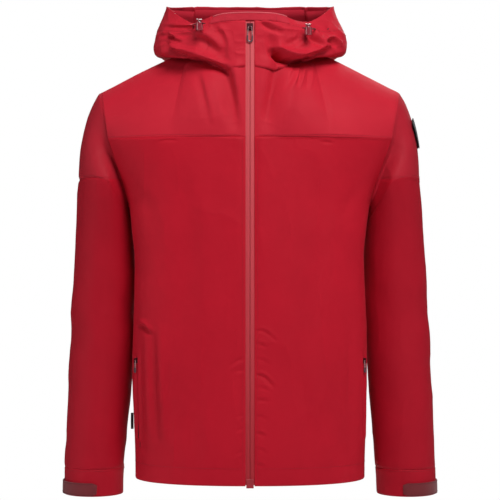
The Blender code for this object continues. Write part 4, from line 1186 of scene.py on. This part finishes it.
# ---------------------------------------------------------------- zips and small sewn pieces
def zip_frame(z):
    """Frame on the zip line: X across, Y into the jacket, Z up along the zip."""
    lean = math.atan(ZIP_LEAN)
    return Matrix.Translation((0.0, float(zip_y(z)), z)) @ Matrix.Rotation(-lean, 4, "X")


def in_frame(matrix, x, y, z):
    points = stack(x, y, z)
    turn = np.array(matrix.to_3x3())
    return points @ turn.T + np.array(matrix.translation)


def build_zip():
    matrix = zip_frame(ZIP_TAPE_FOOT)
    length = (ZIP_TOP_Z - ZIP_TAPE_FOOT) * math.hypot(1.0, ZIP_LEAN)
    for name, side in SIDES:
        def tape(up, across, side=side):
            x = spread(TAPE_EDGE, 0.0126, across)
            lip = 0.0004 * np.exp(-((x - 0.0020) / 0.0022) ** 2)
            edge = 0.0003 * np.exp(-((x - TAPE_EDGE) / 0.0003) ** 2)
            ripple = 0.00008 * np.sin(2 * np.pi * up * length / COIL_PITCH) * np.exp(-(x / 0.0035) ** 2)
            return in_frame(matrix, side * x, 0.0019 - lip + edge - ripple, up * length)
        panel = Panel(tape, (0, 0.1, 0.4), (length, 0.012), (900, 22), None, "")
        sew("zip_tape_" + name + "_film", panel, (TAPE, LINING), "zip_tape", "zip_tape_" + name,
            thickness=0.0006)

    def flap(up, across):
        x, z = spread(-0.020, 0.024, across), spread(0.004, length - 0.020, up)
        return in_frame(matrix, x, 0.0094 - 0.0006 * np.cos(np.pi * (across - 0.5)) + 0 * up, z)
    panel = Panel(flap, (0, 0.2, 0.4), (length, 0.044), (120, 12), None, "")
    sew("storm_flap_fabric", panel, (LINING, LINING), "lining", "storm_flap")


def build_pocket_bags():
    for name, side in SIDES:
        def bag(up, across, side=side):
            z = spread(0.070, 0.262, up) + 0 * across
            point = body_point(np.radians(spread(28.0, 82.0, across)), z)
            middle = stack(0.0, through(BODY_MIDDLE_Y, z), z)
            return flip(point + unit(middle - point) * 0.0105, side)
        panel = Panel(bag, (0, 0, 0.16), (0.19, 0.16), (40, 36), None, "")
        sew("pocket_bag_" + name + "_mesh", panel, (MESH, MESH), "mesh", "pocket_bag_" + name)


def hem_ring(share, z, depth):
    """Round the hem inside the body, from one side of the zip to the other; share 0 to 1."""
    share, z = np.broadcast_arrays(share, z)
    near = np.where(share > 0.5, 1 - share, share)
    angle_front = np.clip(spread(HEM_START, np.pi / 2, near * 4), HEM_START, np.pi / 2)
    angle_back = np.clip(spread(np.pi / 2, 0.0, near * 4 - 1), 0.0, np.pi / 2)
    front = inset_body(angle_front, z, depth, False)
    back = inset_body(angle_back, z, depth, True)
    return flip_by(np.where((near < 0.25)[..., None], front, back), 0.5 - share)


def inset_body(angle, z, depth, back):
    step = 0.01
    point = body_point(angle, z, back)
    along = body_point(np.minimum(angle + step, np.pi / 2), z, back) - body_point(angle - step, z, back)
    out = unit(stack(along[..., 1], -along[..., 0], 0.0))
    away = point[..., :2] - stack(0.0, through(BODY_MIDDLE_Y, z), z)[..., :2]
    facing = np.sum(out[..., :2] * away, axis=-1, keepdims=True)
    return point - out * np.where(facing < 0, -1.0, 1.0) * depth


def build_hem():
    def facing(up, across):
        return hem_ring(across + 0 * up, spread(0.0335, 0.056, up) + 0 * across, 0.0052)
    panel = Panel(facing, (0, 0, 0.045), (0.022, 1.0), (6, 240), None, "")
    sew("hem_facing_fabric", panel, (LINING, LINING), "lining", "hem_facing")


def tab_shape(side):
    def tab(up, across):
        turn = spread(TAB_HINGE, TAB_TIP, up)
        middle, half = (TAB_LOW_Z + TAB_HIGH_Z) / 2, (TAB_HIGH_Z - TAB_LOW_Z) / 2
        half = half * (1.0 - 0.35 * np.maximum(0.0, (up - 0.92) / 0.08) ** 1.6)
        crown = 0.0003 * np.sin(np.pi * across)
        return flip(sleeve_point(turn, middle + half * (2 * across - 1), 0.0026 + crown), side)
    return tab


def build_cuff_tabs():
    for name, side in SIDES:
        def base(up, across, side=side):
            turn = spread(TAB_HINGE - 20.0, TAB_HINGE - 1.5, up)
            return flip(sleeve_point(turn, spread(TAB_LOW_Z, TAB_HIGH_Z, across), 0.0019), side)
        centre = (side * 0.273, 0.0, 0.012)
        panel = Panel(tab_shape(side), centre, (0.10, 0.022), (90, 22), None, "")
        sew("cuff_tab_" + name + "_webbing", panel, (TAB, TAB), "tab", "cuff_tab_" + name,
            "cuff_tab_" + name, 0.0014)
        border_rows(panel, "cuff_tab_" + name + "_stitches", "cuff_tab_" + name)
        panel = Panel(base, centre, (0.02, 0.022), (16, 18), None, "")
        sew("cuff_tab_base_" + name + "_webbing", panel, (TAB, TAB), "tab", "cuff_tab_base_" + name,
            thickness=0.0012)


def border_rows(panel, name, body):
    """Two rows of stitches along the strap and one round its tip."""
    up = np.linspace(0.03, 0.96, 120)
    rows = [panel.at(up, share, STITCH_LIFT) for share in (0.10, 0.90)]
    rows.append(panel.at(0.965, np.linspace(0.14, 0.86, 30), STITCH_LIFT))
    build_stitches(name, rows, DARK_THREAD, body, "tab")


def build_labels():
    def patch(up, across):
        return cap_point(spread(-16.0, 16.0, across), spread(0.36, 0.68, up), 0.0022)
    panel = Panel(patch, (0.25, 0.01, 0.6), (0.05, 0.05), (24, 24), None, "")
    sew("arm_patch_weave", panel, (LABEL, LABEL), "label", "arm_patch")
    low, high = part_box("side_label")
    low, high = np.array(low) + HANG_POINT, np.array(high) + HANG_POINT

    def side_label(up, across):
        x = spread(low[0], high[0], across)
        bow = 0.0008 * np.sin(np.pi * up)
        return stack(x, spread(low[1], high[1], 0.5) - bow * (1 - across), spread(low[2], high[2], up))
    panel = Panel(side_label, (-0.204, 0.5, 0.13), (0.028, 0.005), (20, 6), None, "")
    sew("side_label_weave", panel, (LABEL, LABEL), "label", "side_label", thickness=0.0009)


def build_lock_springs():
    """Wire springs under the cord locks' buttons, coiled in the CAD springs' boxes."""
    for name, _side in SIDES:
        node = "cord_lock_spring_" + name
        low, high = (Vector(corner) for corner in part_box(node))
        middle, height = (low + high) / 2, high.z - low.z
        radius = (high.x - low.x) / 2 - SPRING_WIRE
        curve = bpy.data.curves.new(node + "_wire", "CURVE")
        curve.dimensions = "3D"
        curve.bevel_depth = SPRING_WIRE
        curve.use_fill_caps = True
        line = curve.splines.new("POLY")
        line.points.add(SPRING_STEPS)
        for step, point in enumerate(line.points):
            turn = 2 * math.pi * SPRING_TURNS * step / SPRING_STEPS
            rise = SPRING_WIRE + (height - 2 * SPRING_WIRE) * step / SPRING_STEPS
            point.co = (middle.x + radius * math.cos(turn), middle.y + radius * math.sin(turn),
                        low.z + rise, 1.0)
        rail = bpy.data.objects.new(node + "_rail", curve)
        mesh = bpy.data.meshes.new_from_object(rail)
        bpy.data.objects.remove(rail)
        mesh.materials.clear()
        mesh.materials.append(STEEL)
        obj = bpy.data.objects.new(node + "_wire", mesh)
        bpy.context.scene.collection.objects.link(obj)
        finish_piece(obj, "jacket", "spring_steel", node)
        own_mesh(obj)


def dress_cad_nodes():
    """Better materials on the CAD pieces that keep their own shape."""
    looks = {"main_slider": METAL, "main_pull_cord": PULL_CORD, "main_pull_end": PULL_END,
             "zip_box": BOX, "hang_loop": CORD, "neck_label": LABEL, "hem_drawcord": CORD}
    for name, _side in SIDES:
        looks.update({"pocket_slider_" + name: METAL, "pocket_tape_" + name: COIL,
                      "pocket_pull_" + name + "_cord": PULL_CORD,
                      "pocket_pull_" + name + "_end": PULL_END,
                      "zip_coil_" + name: COIL, "cord_lock_body_" + name: LOCK,
                      "cord_lock_button_" + name: LOCK, "hood_drawcord_" + name: CORD})
    for node, look in looks.items():
        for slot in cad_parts[node].material_slots:
            slot.material = look


# ---------------------------------------------------------------- stage, light and camera
CAMERA_HEIGHT = -0.3775
CAMERA_DISTANCE = 3.0
VIEW_WIDTH = 0.875
SENSOR = 36.0
FLOOR_Z = -1.35
FLOOR_RADIUS = 2.8          # stays below the edge of the picture, so the backdrop is plain white


def add_area_light(name, location, aim, size, power):
    light = bpy.data.lights.new(name, "AREA")
    light.shape = "RECTANGLE"
    light.size, light.size_y = size
    light.energy = power
    obj = bpy.data.objects.new(name, light)
    obj.location = location
    obj.rotation_euler = (Vector(aim) - Vector(location)).to_track_quat("-Z", "Y").to_euler()
    bpy.context.scene.collection.objects.link(obj)


def build_stage():
    bm = bmesh.new()
    bmesh.ops.create_circle(bm, cap_ends=True, segments=96, radius=FLOOR_RADIUS)
    mesh = bpy.data.meshes.new("floor")
    bm.to_mesh(mesh)
    bm.free()
    nodes = Nodes("pale_floor")
    tone = nodes.ramp(nodes.noise(nodes.place(), 6.0), [(0.3, grey(0.90)), (0.7, grey(0.94))])
    nodes.link(tone, nodes.shader.inputs["Base Color"])
    nodes.fix({"Roughness": 0.9})
    mesh.materials.append(nodes.material)
    floor = bpy.data.objects.new("floor", mesh)
    floor.location = (0.0, 0.0, FLOOR_Z)
    bpy.context.scene.collection.objects.link(floor)


def build_world():
    """White to the camera, softer as a light, so that deep folds stay dark."""
    world = bpy.data.worlds.new("studio")
    bpy.context.scene.world = world
    world.use_nodes = True
    tree = world.node_tree
    background = tree.nodes["Background"]
    path = tree.nodes.new("ShaderNodeLightPath")
    strength = tree.nodes.new("ShaderNodeMapRange")
    strength.inputs["To Min"].default_value = 0.055
    strength.inputs["To Max"].default_value = 1.0
    tree.links.new(path.outputs["Is Camera Ray"], strength.inputs["Value"])
    background.inputs["Color"].default_value = (1.0, 1.0, 1.0, 1.0)
    tree.links.new(strength.outputs["Result"], background.inputs["Strength"])


def build_lights():
    middle = (0.0, 0.0, -0.38)
    add_area_light("key", (0.60, -1.8, 1.60), middle, (1.1, 1.1), 61.0)
    add_area_light("side_left", (2.5, -0.7, 0.2), middle, (1.0, 1.8), 8.0)
    add_area_light("side_right", (-2.5, -1.0, 0.2), middle, (1.0, 1.8), 18.0)
    add_area_light("back", (0.4, 2.6, 1.2), middle, (2.0, 2.0), 62.0)


def build_camera():
    camera = bpy.data.cameras.new("camera")
    camera.sensor_width = SENSOR
    camera.lens = SENSOR * CAMERA_DISTANCE / VIEW_WIDTH
    obj = bpy.data.objects.new("camera", camera)
    front = -0.066
    obj.location = (0.0, front - CAMERA_DISTANCE, CAMERA_HEIGHT)
    obj.rotation_euler = (math.radians(90.0), 0.0, 0.0)
    bpy.context.scene.collection.objects.link(obj)
    bpy.context.scene.camera = obj
    bpy.context.scene.view_settings.view_transform = "Standard"


# ---------------------------------------------------------------- build
build_camera()
build_stage()
build_world()
build_lights()
build_fronts()
build_back()
build_sleeves()
build_hood()
build_piping()
build_zip()
build_pocket_bags()
build_hem()
build_cuff_tabs()
build_labels()
build_lock_springs()
dress_cad_nodes()
build_stitches("seam_stitches", STITCH_ROWS, THREAD_LOOK)
